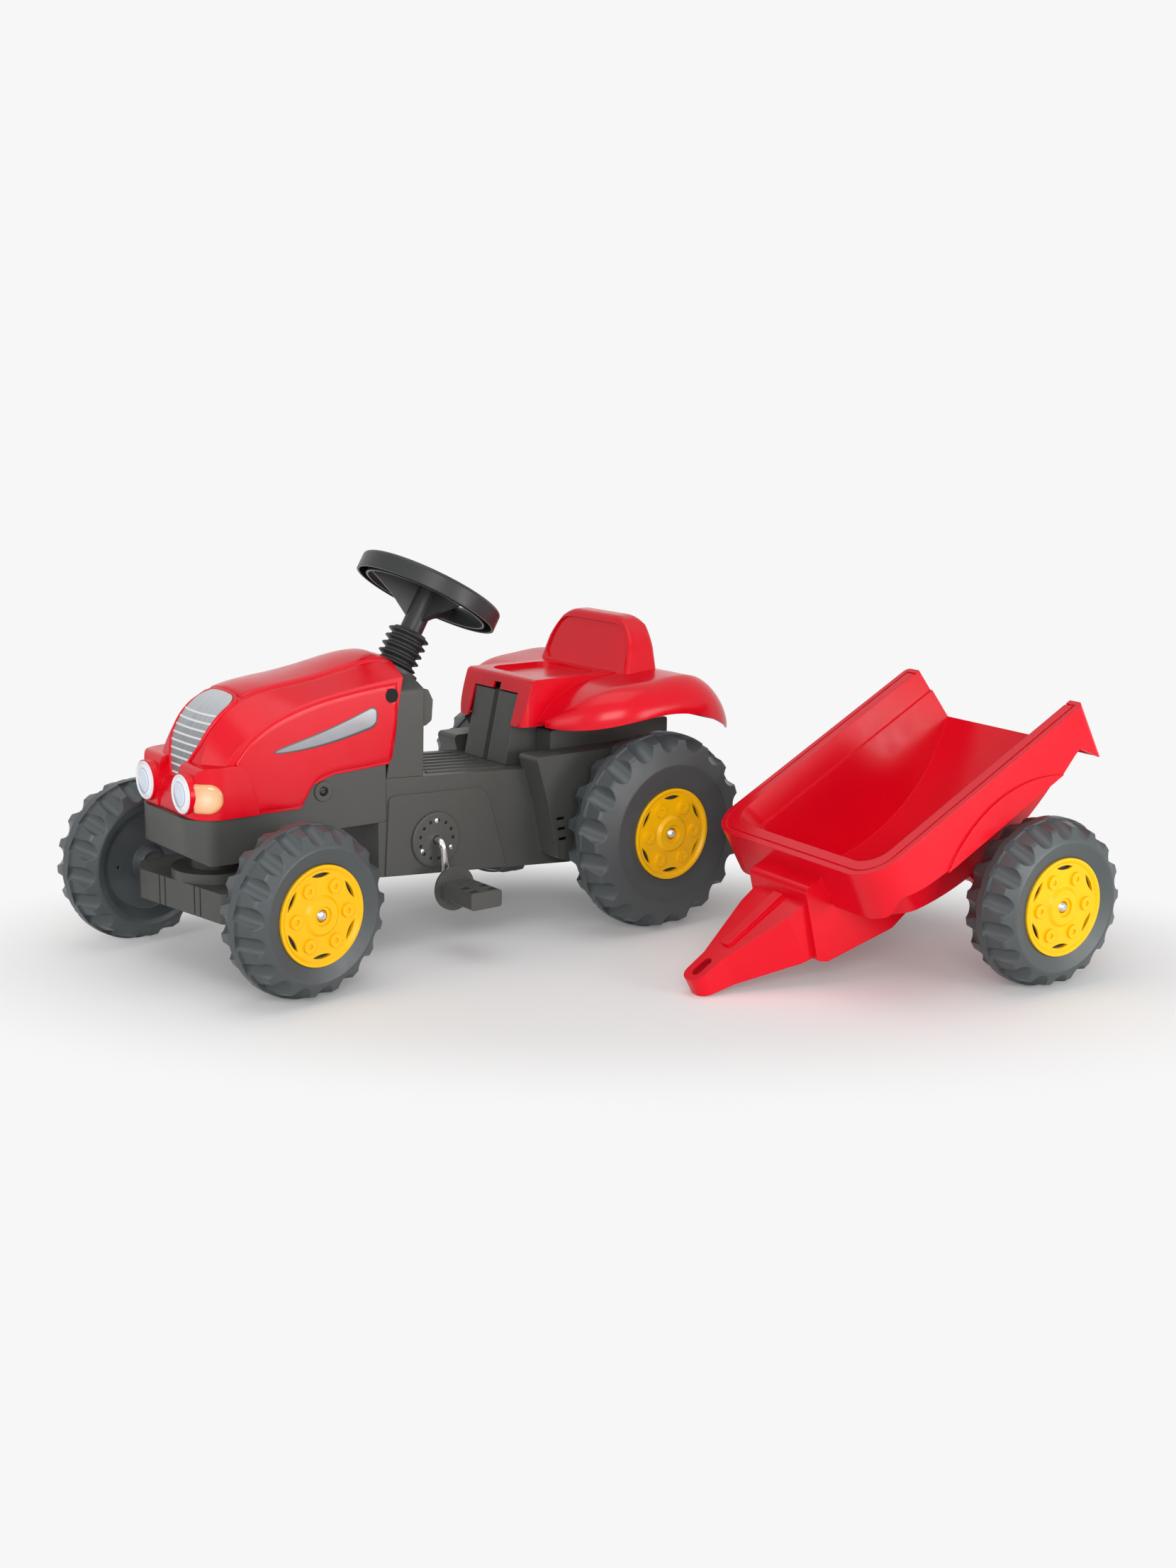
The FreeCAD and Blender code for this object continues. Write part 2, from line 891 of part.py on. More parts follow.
def steered(shape):
    """Turn a straight-ahead front axle piece to the rest angle about the kingpin."""
    turned = shape.copy()
    turned.rotate(Vector(wheelbase, 0, 0), Vector(0, 0, 1), steer_rest_angle)
    return turned


def at_front(shape):
    moved = shape.copy()
    moved.translate(Vector(wheelbase, 0, front_tyre_radius))
    return steered(moved)


def at_rear(shape):
    moved = shape.copy()
    moved.translate(Vector(0, 0, rear_tyre_radius))
    return moved


def on_column(shape):
    """Carry a piece drawn along Z, its origin at the steering wheel's centre, to the tilted column."""
    moved = shape.copy()
    moved.rotate(Vector(0, 0, 0), Vector(0, 1, 0), -column_tilt)
    moved.translate(Vector(wheel_centre_x, 0, wheel_centre_z))
    return moved


def on_turned_column(shape):
    turned = shape.copy()
    turned.rotate(Vector(0, 0, 0), Vector(0, 0, 1), column_rest_angle)
    return on_column(turned)


def steering_wheel():
    half = wheel_rim_height / 2
    inner = wheel_rim_radius - wheel_rim_width
    outline = [(wheel_rim_radius, -half), (wheel_rim_radius, half), (inner, half), (inner, -half)]
    radii = [0, wheel_rim_round, wheel_rim_round, 0]
    wall = wheel_rim_wall
    hollow = inset(outline, [wall, wall, wall, -overrun])
    inner_round = wheel_rim_round - wall
    ring = turned_z(outline, radii).cut(turned_z(hollow, [0, inner_round, inner_round, 0]))
    top = hub_plate_top - spoke_thickness
    hub_plate = rod_z(0, 0, hub_plate_radius, top, hub_plate_top)
    pieces = [ring, rod_z(0, 0, hub_radius, -hub_length, top), hub_plate]
    reach = inner + wall / 2
    for i in range(spoke_count):
        plate_points = [
            (0, -spoke_root_width / 2),
            (reach, -spoke_end_width / 2),
            (reach, spoke_end_width / 2),
            (0, spoke_root_width / 2),
        ]
        plate = plan_prism(plate_points, 0, top, hub_plate_top)
        web_points = [
            (0, top),
            (reach, top),
            (reach, -half / 2),
            (reach / 2, -half * 2),
            (0, -hub_length + half),
        ]
        web = side_prism(web_points, 0, -spoke_web / 2, spoke_web / 2)
        arm = plate.fuse(web)
        arm.rotate(Vector(0, 0, 0), Vector(0, 0, 1), spoke_phase + full_turn * i / spoke_count)
        pieces.append(arm)
    socket = rod_z(0, 0, rod_radius + push_fit, -hub_length - overrun, -hub_socket_depth + push_fit)
    return fused(pieces).cut(socket)


def steering_pieces():
    export("steering_wheel", on_turned_column(steering_wheel()))
    pad = [
        (0, hub_plate_top),
        (cap_pad_radius, hub_plate_top),
        (cap_pad_radius, hub_plate_top + cap_pad_height / 2),
        (cap_pad_radius / 2, hub_plate_top + cap_pad_height),
        (0, hub_plate_top + cap_pad_height),
    ]
    export("steering_cap", on_turned_column(turned_z(pad, [0, 0, cap_pad_edge, cap_pad_crown, 0])))
    rod_points = [
        Vector(0, 0, -hub_socket_depth),
        Vector(0, 0, -column_length),
        Vector(-steer_arm, 0, -column_length),
        Vector(-steer_arm, 0, -column_length - steer_pin_length),
    ]
    export("steering_rod", on_turned_column(bent_rod(rod_points, rod_radius, rod_bend)))
    foot = -bellows_top - bellows_length
    step = bellows_length / bellows_rib_count
    outer = []
    inner = []
    for i in range(bellows_rib_count):
        low = foot + step * i
        outer.append((bellows_root_radius, low))
        outer.append((bellows_rib_radius, low + step / 4))
        outer.append((bellows_rib_radius, low + step / 2))
        inner.append((bellows_root_radius - bellows_wall, low))
        inner.append((bellows_rib_radius - bellows_wall, low + step / 4))
        inner.append((bellows_rib_radius - bellows_wall, low + step / 2))
    outer.append((bellows_root_radius, -bellows_top))
    inner.append((bellows_root_radius - bellows_wall, -bellows_top))
    inner.reverse()
    export("bellows", on_column(turned_z(outer + inner, 0)))
    bore = rod_radius + running_fit
    base = foot - collar_height
    collar = [
        (bore, base - collar_stem_length),
        (collar_stem_radius, base - collar_stem_length),
        (collar_stem_radius, base),
        (collar_radius, base),
        (collar_radius, foot),
        (bore, foot),
    ]
    export("steering_collar", on_column(turned_z(collar, 0)))


def front_axle_pieces():
    flat = beam_half * beam_flat_share
    outline = [
        (wheelbase - beam_rear, -beam_half),
        (wheelbase + beam_shoulder, -beam_half),
        (wheelbase + beam_front, -flat),
        (wheelbase + beam_front, flat),
        (wheelbase + beam_shoulder, beam_half),
        (wheelbase - beam_rear, beam_half),
    ]
    body = plan_prism(outline, beam_round, beam_low, beam_top)
    hollow = plan_prism(inset(outline, beam_wall), beam_wall, beam_low - overrun, beam_top - beam_wall)
    body = body.cut(hollow)
    hub_face = half_track - tyre_width / 2 - body_gap
    top = frame_low_z - piece_gap
    tongue_end = fork_pin_x - tongue_overhang
    root = wheelbase - beam_rear + beam_wall
    sleeve = rod_y(wheelbase, front_tyre_radius, sleeve_radius, beam_half - beam_wall, hub_face)
    sleeve_top = front_tyre_radius + sleeve_radius - axle_radius
    pieces = [
        body,
        block(tongue_end, root, -tongue_half, tongue_half, tongue_low, tongue_top),
        sleeve,
        mirrored(sleeve),
        rod_z(wheelbase, 0, turntable_radius, beam_top - beam_wall / 2, beam_top + turntable_thickness),
        rod_z(wheelbase, 0, pivot_boss_radius, beam_top, top),
        rod_z(wheelbase, 0, pivot_boss_radius, sleeve_top, beam_top),
    ]
    fork = rod_radius + fork_play
    fork_front = wheelbase - steer_lever * fork_start_share
    cuts = [
        rod_y(wheelbase, front_tyre_radius, axle_radius + push_fit, -half_track, half_track),
        rod_z(wheelbase, 0, kingpin_radius + running_fit, beam_low, frame_low_z),
        block(tongue_end - overrun, fork_front, -fork, fork, tongue_low - overrun, tongue_top + overrun),
    ]
    for share in beam_groove_shares:
        y = share * beam_half
        groove_x = wheelbase + beam_front - beam_groove
        if abs(share) > beam_flat_share:
            slope = (abs(y) - flat) / (beam_half - flat)
            groove_x -= slope * (beam_front - beam_shoulder)
        low = y - beam_groove / 2
        cuts.append(block(groove_x, groove_x + beam_front, low, low + beam_groove, 0, beam_top + overrun))
    export("axle_beam", steered(cut_all(fused(pieces), cuts)))
    head = front_tyre_radius + axle_radius + body_gap
    kingpin = rod_z(wheelbase, 0, kingpin_radius, head, pin_boss_top + kingpin_stub)
    nut = rod_z(wheelbase, 0, kingpin_head_radius, pin_boss_top + piece_gap, pin_boss_top + kingpin_head)
    export("kingpin", fused([kingpin, nut]))


def frame_points():
    span = (frame_front_x - frame_rear_x, frame_height)
    return scaled(frame_outline_shares, (frame_rear_x, frame_low_z), span)


def front_frame():
    outline = frame_points()
    half = frame_half_width
    wall = frame_wall
    plan = [
        (frame_rear_x, -half),
        (frame_front_x, -half),
        (frame_front_x, half),
        (frame_rear_x, half),
    ]
    low = frame_low_z - overrun
    high = frame_top_z + overrun
    nose = frame_nose_round
    body = side_prism(outline, 0, -half, half).common(plan_prism(plan, [0, nose, nose, 0], low, high))
    hollow_side = inset(outline, [-overrun] + [wall] * 8 + [-overrun])
    hollow_plan = inset(plan, [wall, wall, wall, -overrun])
    nose = frame_nose_round - wall
    hollow = side_prism(hollow_side, 0, -half, half)
    hollow = hollow.common(plan_prism(hollow_plan, [0, nose, nose, 0], low, high))
    span = (frame_front_x - frame_rear_x, frame_height)
    spot = scaled(frame_boss_shares, (frame_rear_x, frame_low_z), span)[0]
    side_boss = rod_y(spot[0], spot[1], frame_boss_radius, half - wall, half + frame_boss_rise)
    pieces = [
        body.cut(hollow),
        side_boss,
        mirrored(side_boss),
        rod_z(wheelbase, 0, pin_boss_radius, frame_low_z, pin_boss_top),
    ]
    boss_bore = rod_y(spot[0], spot[1], frame_boss_bore, half - wall - overrun, half + overrun)
    slot_end = frame_rear_x + shaft_slot_length
    slot_low = frame_top_z - shaft_slot_depth
    cuts = [
        boss_bore,
        mirrored(boss_bore),
        rod_z(wheelbase, 0, kingpin_radius + push_fit, low, pin_boss_top + overrun),
        block(frame_rear_x - overrun, slot_end, -shaft_slot_half, shaft_slot_half, slot_low, high),
    ]
    export("front_frame", cut_all(fused(pieces), cuts))


def chain_geometry():
    """Pitch radii, the even number of links that reaches the crank best, and the crank's place for it."""
    drive = drive_teeth * chain_pitch / (2 * math.pi)
    driven = driven_teeth * chain_pitch / (2 * math.pi)
    wished = tub_rear_x + tub_length * crank_reach_share
    links = 2 * round((wished * 2 + (drive + driven) * math.pi) / (chain_pitch * 2))
    loop = links * chain_pitch
    distance = loop / 2 - (drive + driven) * math.pi / 2
    # Each pass brings the crank nearer to where the loop lies tight round both sprockets
    for _ in range(links):
        slope = math.asin((drive - driven) / distance)
        wraps = drive * (math.pi + 2 * slope) + driven * (math.pi - 2 * slope)
        distance += (loop - wraps) / 2 - distance * math.cos(slope)
    crank_x = math.sqrt(distance * distance - crank_rise * crank_rise)
    return drive, driven, slope, links, crank_x


def deck_z(x):
    """The height of the sloping footboard at x."""
    slope = (deck_front_z - deck_rear_z) / (frame_rear_x - piece_gap - deck_rear_x)
    return deck_rear_z + slope * (x - deck_rear_x)


def seam_x(z):
    """The line between the dash cowl and the hood, seen from the side."""
    foot_z = deck_z(seam_foot_x) + piece_gap
    return seam_foot_x - seam_run * (z - foot_z) / (seam_top_z - foot_z)


def tub_points():
    step = frame_rear_x - piece_gap
    shelf = frame_seat_z - piece_gap
    points = [
        (tub_front_x, tub_low_z + tub_front_share * tub_height),
        (tub_front_x, shelf),
        (step, shelf),
        (step, deck_front_z),
        (deck_rear_x, deck_rear_z),
        (deck_rear_x, tub_top_z),
        (tub_rear_x, tub_top_z),
    ]
    return points + scaled(tub_tail_shares, (tub_rear_x, tub_low_z), (deck_length, tub_height))


def chassis_tub(crank_x):
    origin = (tub_rear_x, tub_low_z)
    rear_span = (deck_length, tub_height)
    wall = tub_wall
    half = tub_half_width
    outline = tub_points()
    body = side_prism(outline, tub_rounds, -half, half)
    housing_outline = scaled(housing_outline_shares, origin, rear_span)
    housing = side_prism(housing_outline, housing_round, half - wall, housing_half_width)
    panel_points = scaled(panel_outline_shares, origin, (tub_length, tub_height))
    panel = side_prism(panel_points, panel_rounds, half - wall / 2, half + panel_rise)
    hollow = side_prism(inset(outline, [wall] * 8 + [-overrun] * 2), 0, -half + wall, half - wall)
    housing_hollow = side_prism(inset(housing_outline, wall), 0, half, housing_half_width - wall)
    housing = housing.cut(housing_hollow)
    pieces = [fused([body, housing, mirrored(housing), panel, mirrored(panel)]).cut(hollow)]
    deck_run = frame_rear_x - deck_rear_x
    rib_rear = deck_rear_x + deck_run * foot_rib_shares[0][0]
    rib_front = deck_rear_x + deck_run * foot_rib_shares[0][1]
    low = deck_z(rib_rear)
    high = deck_z(rib_front)
    rib = [
        (rib_rear, low - foot_rib_height),
        (rib_front, high - foot_rib_height),
        (rib_front, high + foot_rib_height),
        (rib_rear, low + foot_rib_height),
    ]
    for i in range(foot_rib_count):
        y = foot_rib_spread * (2 * i / (foot_rib_count - 1) - 1)
        pieces.append(side_prism(rib, 0, y - foot_rib_width / 2, y + foot_rib_width / 2))
    crank_seat = crank_bush_radius + piece_gap
    outside = housing_half_width
    boss = rod_y(crank_x, crank_z, crank_seat + wall, half - crank_bush_length, half)
    rear_boss = rod_y(0, rear_tyre_radius, crank_seat + wall, outside - crank_bush_length, outside)
    pieces += [boss, mirrored(boss), rear_boss, mirrored(rear_boss)]
    cuts = [
        rod_y(crank_x, crank_z, crank_seat, -half - overrun, half + overrun),
        rod_y(0, rear_tyre_radius, crank_seat, -outside - overrun, outside + overrun),
    ]
    for spot in scaled(housing_slot_shares, origin, rear_span):
        x = spot[0] - housing_slot_length / 2
        z = spot[1] - housing_slot_height / 2
        inner = outside - wall - overrun
        slot = block(x, x + housing_slot_length, inner, outside + overrun, z, z + housing_slot_height)
        cuts += [slot, mirrored(slot)]
    export("chassis_tub", cut_all(fused(pieces), cuts))
    wide = half - wall - piece_gap
    thick = bottom_cover_thickness
    under = inset(outline, [wall + piece_gap] * 8 + [0, 0])
    above = inset(outline, [wall + piece_gap] * 8 + [thick, thick])
    cover = [under[8], under[9], under[0], above[0], above[9], above[8]]
    export("bottom_cover", side_prism(cover, 0, -wide, wide))


def dash_cowl():
    origin = (cowl_rear_x, cowl_low_z)
    span = (cowl_length, cowl_height)
    half = tub_half_width
    wall = shell_wall
    foot_x = cowl_rear_x + cowl_foot_share * cowl_length
    outline = [(seam_foot_x, deck_z(seam_foot_x) + piece_gap), (seam_top_x, seam_top_z)]
    outline += scaled(cowl_crown_shares, origin, span)
    outline.append((foot_x, deck_z(foot_x) + piece_gap))
    top = cowl_top_z
    arch = [
        (-half, cowl_low_z),
        (half, cowl_low_z),
        (half, top - cowl_shoulder_drop),
        (cowl_shoulder_half, top),
        (-cowl_shoulder_half, top),
        (-half, top - cowl_shoulder_drop),
    ]
    far = frame_rear_x + overrun
    soft = [0, 0, cowl_round, cowl_round, cowl_round, cowl_round]
    body = side_prism(outline, 0, -half, half).common(front_prism(arch, soft, cowl_rear_x, far))
    console_points = scaled(console_outline_shares, origin, span)
    console = side_prism(console_points, console_round, -console_half_width, console_half_width)
    post_points = scaled(post_top_shares, origin, span)
    post_points += [(p[0], deck_z(p[0]) + piece_gap) for p in reversed(post_points)]
    post = side_prism(post_points, 0, -post_half_width, post_half_width)
    hollow_arch = inset(arch, [-overrun, wall, wall, wall, wall, wall])
    hollow_side = inset(outline, [-overrun, wall, wall, wall, wall, -overrun])
    hollow = side_prism(hollow_side, 0, -half, half).common(front_prism(hollow_arch, 0, cowl_rear_x, far))
    console_side = console_half_width - wall
    console_hollow = side_prism(inset(console_points, wall), 0, -console_side, console_side)
    post_side = post_half_width - wall
    post_edges = [-overrun, wall, -overrun, -overrun]
    post_hollow = side_prism(inset(post_points, post_edges), 0, -post_side, post_side)
    shell = fused([body, console, post])
    base = -bellows_top - bellows_length - collar_height
    cuts = [
        hollow,
        console_hollow,
        post_hollow,
        on_column(rod_z(0, 0, collar_stem_radius + piece_gap, base - cowl_height, base + overrun)),
        on_column(rod_z(0, 0, collar_radius + piece_gap, base - piece_gap, 0)),
    ]
    for tool in cuts:
        shell = shell.cut(tool)
    export("dash_cowl", shell)


def hood_section(x, low, crown, top, crease, top_half, side_half):
    right = [Vector(x, -side_half, low), Vector(x, -side_half, crease), Vector(x, -top_half, top)]
    left = [Vector(x, side_half, low), Vector(x, side_half, crease), Vector(x, top_half, top)]
    edges = [
        line(right[0], left[0]),
        line(left[0], left[1]),
        line(left[1], left[2]),
        Part.Arc(left[2], Vector(x, 0, crown), right[2]).toShape(),
        line(right[2], right[1]),
        line(right[1], right[0]),
    ]
    return Part.Wire(edges)


def hood_form(shrink, low, first, last):
    """The hood's outer form, its skin moved inwards by shrink."""
    wires = []
    count = len(hood_station_shares)
    for i in range(count):
        row = hood_station_shares[i]
        x = hood_rear_x + row[0] * hood_length
        if i == 0:
            x -= first
        if i == count - 1:
            x -= last
        wires.append(
            hood_section(
                x,
                low,
                hood_low_z + row[1] * hood_height - shrink,
                hood_low_z + row[2] * hood_height - shrink,
                hood_low_z + row[3] * hood_height - shrink / 2,
                row[4] * hood_half_width - shrink / 2,
                row[5] * hood_half_width - shrink,
            )
        )
    return Part.makeLoft(wires, True, False)


def hood_pieces():
    origin = (hood_rear_x, hood_low_z)
    span = (hood_length, hood_height)
    wide = hood_half_width * 2
    wall = hood_wall
    high = hood_low_z + hood_height
    form = hood_form(0, hood_low_z, 0, 0)
    inside = hood_form(wall, hood_low_z - overrun, overrun, wall)
    pod_points = scaled(pod_outline_shares, origin, span)
    pod_front = pod_points[3][0]
    pod_rear = pod_points[0][0]
    pod_plan = [
        (pod_rear, pod_inner_y),
        (pod_front, pod_inner_y),
        (pod_front, pod_outer_y),
        (pod_rear, pod_outer_y),
    ]
    nose = pod_nose_round
    pod = side_prism(pod_points, pod_rounds, pod_inner_y, pod_outer_y)
    pod = pod.common(plan_prism(pod_plan, [0, 0, nose, 0], hood_low_z, high))
    lamp_z = hood_low_z + lamp_rise
    lamp_seat = pod_front + lamp_boss_rise
    boss = rod_x(lamp_y, lamp_z, lamp_boss_radius, pod_front - nose, lamp_seat)
    hollow_points = inset(pod_points, [wall, wall, wall, wall, -overrun])
    pod_hollow = side_prism(hollow_points, 0, pod_inner_y - overrun, pod_outer_y - wall)
    hollow_plan = inset(pod_plan, [0, wall, wall, wall])
    pod_hollow = pod_hollow.common(plan_prism(hollow_plan, [0, 0, nose - wall, 0], 0, high))
    chin_points = scaled(chin_outline_shares, origin, span)
    chin = side_prism(chin_points, 0, -chin_half_width, chin_half_width)
    chin_inner = inset(chin_points, [-overrun, wall, wall, wall, wall])
    chin_hollow = side_prism(chin_inner, 0, -chin_half_width, chin_half_width)
    left_pod = pod.fuse(boss)
    shell = fused([form, left_pod, mirrored(left_pod), chin])
    recess = rod_x(lamp_y, lamp_z, lamp_radius + piece_gap, lamp_seat - lamp_recess, lamp_seat + overrun)
    grown = inset(frame_points(), -piece_gap)
    rear = hood_rear_x - overrun
    ledge = grown[5:] + [(rear, grown[9][1]), (rear, frame_low_z), (grown[5][0], frame_low_z)]
    top = high + overrun
    seam_low = seam_x(frame_low_z) + piece_gap
    seam_high = seam_x(top) + piece_gap
    behind = [(seam_low, frame_low_z), (seam_high, top), (rear, top), (rear, frame_low_z)]
    plug_z = hood_low_z + plug_rise
    plug_x = seam_x(plug_z) + plug_margin
    plug_stem = plug_radius / 2
    cuts = [
        inside,
        pod_hollow,
        mirrored(pod_hollow),
        chin_hollow,
        side_prism(ledge, 0, -wide, wide),
        side_prism(behind, 0, -wide, wide),
        recess,
        mirrored(recess),
        rod_y(plug_x, plug_z, plug_stem + piece_gap, -wide, wide),
    ]
    for tool in cuts:
        shell = shell.cut(tool)
    export("hood", shell)
    lens_face = lamp_seat - lamp_recess
    dome_radius = (lamp_radius ** 2 + lamp_dome ** 2) / (2 * lamp_dome)
    ball = Part.makeSphere(dome_radius, Vector(lamp_seat + lamp_dome - dome_radius, lamp_y, lamp_z))
    dome = ball.common(rod_x(lamp_y, lamp_z, lamp_radius, lamp_seat, lamp_seat + lamp_radius))
    lens = fused([rod_x(lamp_y, lamp_z, lamp_radius, lens_face, lamp_seat), dome])
    export("headlight_left", lens)
    export("headlight_right", mirrored(lens))
    thick = indicator_thickness
    shade_low = hood_low_z + indicator_rise
    shade_high = shade_low + indicator_height
    shade_plan = inset(pod_plan, [0, -thick, -thick, 0])
    shade = plan_prism(shade_plan, [0, 0, nose + thick, 0], shade_low, shade_high)
    seat_plan = inset(pod_plan, [0, -piece_gap, -piece_gap, 0])
    shade = shade.cut(plan_prism(seat_plan, [0, 0, nose + piece_gap, 0], hood_low_z, high))
    shade_rear = pod_front - indicator_length
    shade_front = pod_front + wide
    shade_side = [
        (shade_rear, shade_low),
        (shade_front, shade_low),
        (shade_front, shade_high),
        (shade_rear, shade_high),
    ]
    soft = indicator_round
    shade = shade.common(side_prism(shade_side, [soft, 0, 0, soft], indicator_inner_y, wide))
    export("indicator_left", shade)
    export("indicator_right", mirrored(shade))
    half_zone = scaled(grille_outline_shares, (0, hood_low_z), (hood_half_width, hood_height))
    zone_points = half_zone + [(-p[0], p[1]) for p in reversed(half_zone)]
    zone_rounds = grille_rounds + grille_rounds[::-1]
    grille_rear = wheelbase - grille_setback
    grille_front = hood_rear_x + hood_length + overrun
    edge = half_zone[-1][0]
    zone_plan = [
        (grille_rear, -edge),
        (grille_front, -edge),
        (grille_front, edge),
        (grille_rear, edge),
    ]
    soft = grille_top_round
    zone = front_prism(zone_points, zone_rounds, grille_rear, grille_front)
    zone = zone.common(plan_prism(zone_plan, [soft, 0, 0, soft], hood_low_z, top))
    base = hood_form(-piece_gap, hood_low_z, 0, 0)
    plain = hood_form(-grille_thickness, hood_low_z, 0, 0)
    raised = hood_form(-grille_thickness - grille_bar_rise, hood_low_z, 0, 0)
    bar_low = hood_low_z + grille_bar_shares[0][0] * hood_height
    bar_step = (grille_bar_shares[0][1] - grille_bar_shares[0][0]) * hood_height / (grille_bar_count - 1)
    bars = []
    for i in range(grille_bar_count):
        low = bar_low + bar_step * i
        bars.append(block(grille_rear, grille_front + wide, -edge, edge, low, low + grille_bar_height))
    lines = raised.common(zone).common(Part.makeCompound(bars)).cut(base)
    export("grille_panel", plain.common(zone).cut(base).fuse(lines).removeSplitter())
    face = hood_half_width * plug_side_share + piece_gap
    head = rod_y(plug_x, plug_z, plug_radius, face, face + plug_head)
    stem = rod_y(plug_x, plug_z, plug_stem, face - plug_depth, face)
    plug = fused([head, stem])
    export("hood_plug_left", plug)
    export("hood_plug_right", mirrored(plug))


def column_pieces():
    top = tub_top_z + column_rise
    step = deck_rear_x + piece_gap
    ledge = tub_top_z + piece_gap
    front = deck_rear_x + column_reach
    points = [
        (front, deck_z(front) + piece_gap),
        (deck_rear_x + column_top_reach, top),
        (deck_rear_x - column_overlap, top),
        (deck_rear_x - column_overlap, ledge),
        (step, ledge),
        (step, deck_z(step) + piece_gap),
    ]
    half = column_half_width
    wall = shell_wall
    inner = inset(points, [wall, wall, -overrun, -overrun, -overrun, -overrun])
    hollow = side_prism(inner, 0, -half + wall, half - wall)
    deep = inset(points, [column_groove_depth, 0, 0, 0, 0, 0])
    deeper = inset(points, [column_groove_depth + wall, 0, 0, 0, 0, 0])
    edge = column_groove / 2
    groove = side_prism(points, 0, -edge, edge).cut(side_prism(deep, 0, -half, half))
    backing = side_prism(points, 0, -edge - wall, edge + wall).cut(side_prism(deeper, 0, -half, half))
    column = fused([side_prism(points, 0, -half, half).cut(hollow), backing])
    export("seat_column", column.cut(groove))


def fender_form(shrink):
    """The left fender between its stations, its skin moved inwards by shrink and its foot opened."""
    wires = []
    for row in fender_station_shares:
        x = seat_rear_x + row[0] * seat_length
        out = row[1] * seat_half_width - shrink
        low = seat_low_z + row[2] * seat_height
        top = seat_low_z + row[3] * seat_height - shrink
        ease = row[4] * seat_half_width
        foot = low - overrun if shrink > 0 else low
        inner = fender_inner_y - overrun if shrink > 0 else fender_inner_y
        shoulder = Vector(x, out - ease, top)
        corner = Vector(x, out, low)
        rise = top - low
        bulge = Vector(x, out - ease * fender_bulge_share, low + rise * (1 - fender_bulge_share))
        start = Vector(x, inner, foot)
        edges = [
            line(start, Vector(x, out, foot)),
            Part.Arc(corner, bulge, shoulder).toShape(),
            line(shoulder, Vector(x, inner, top)),
            line(Vector(x, inner, top), start),
        ]
        if shrink > 0:
            edges.insert(1, line(Vector(x, out, foot), corner))
        wires.append(Part.Wire(edges))
    return Part.makeLoft(wires, True, False)


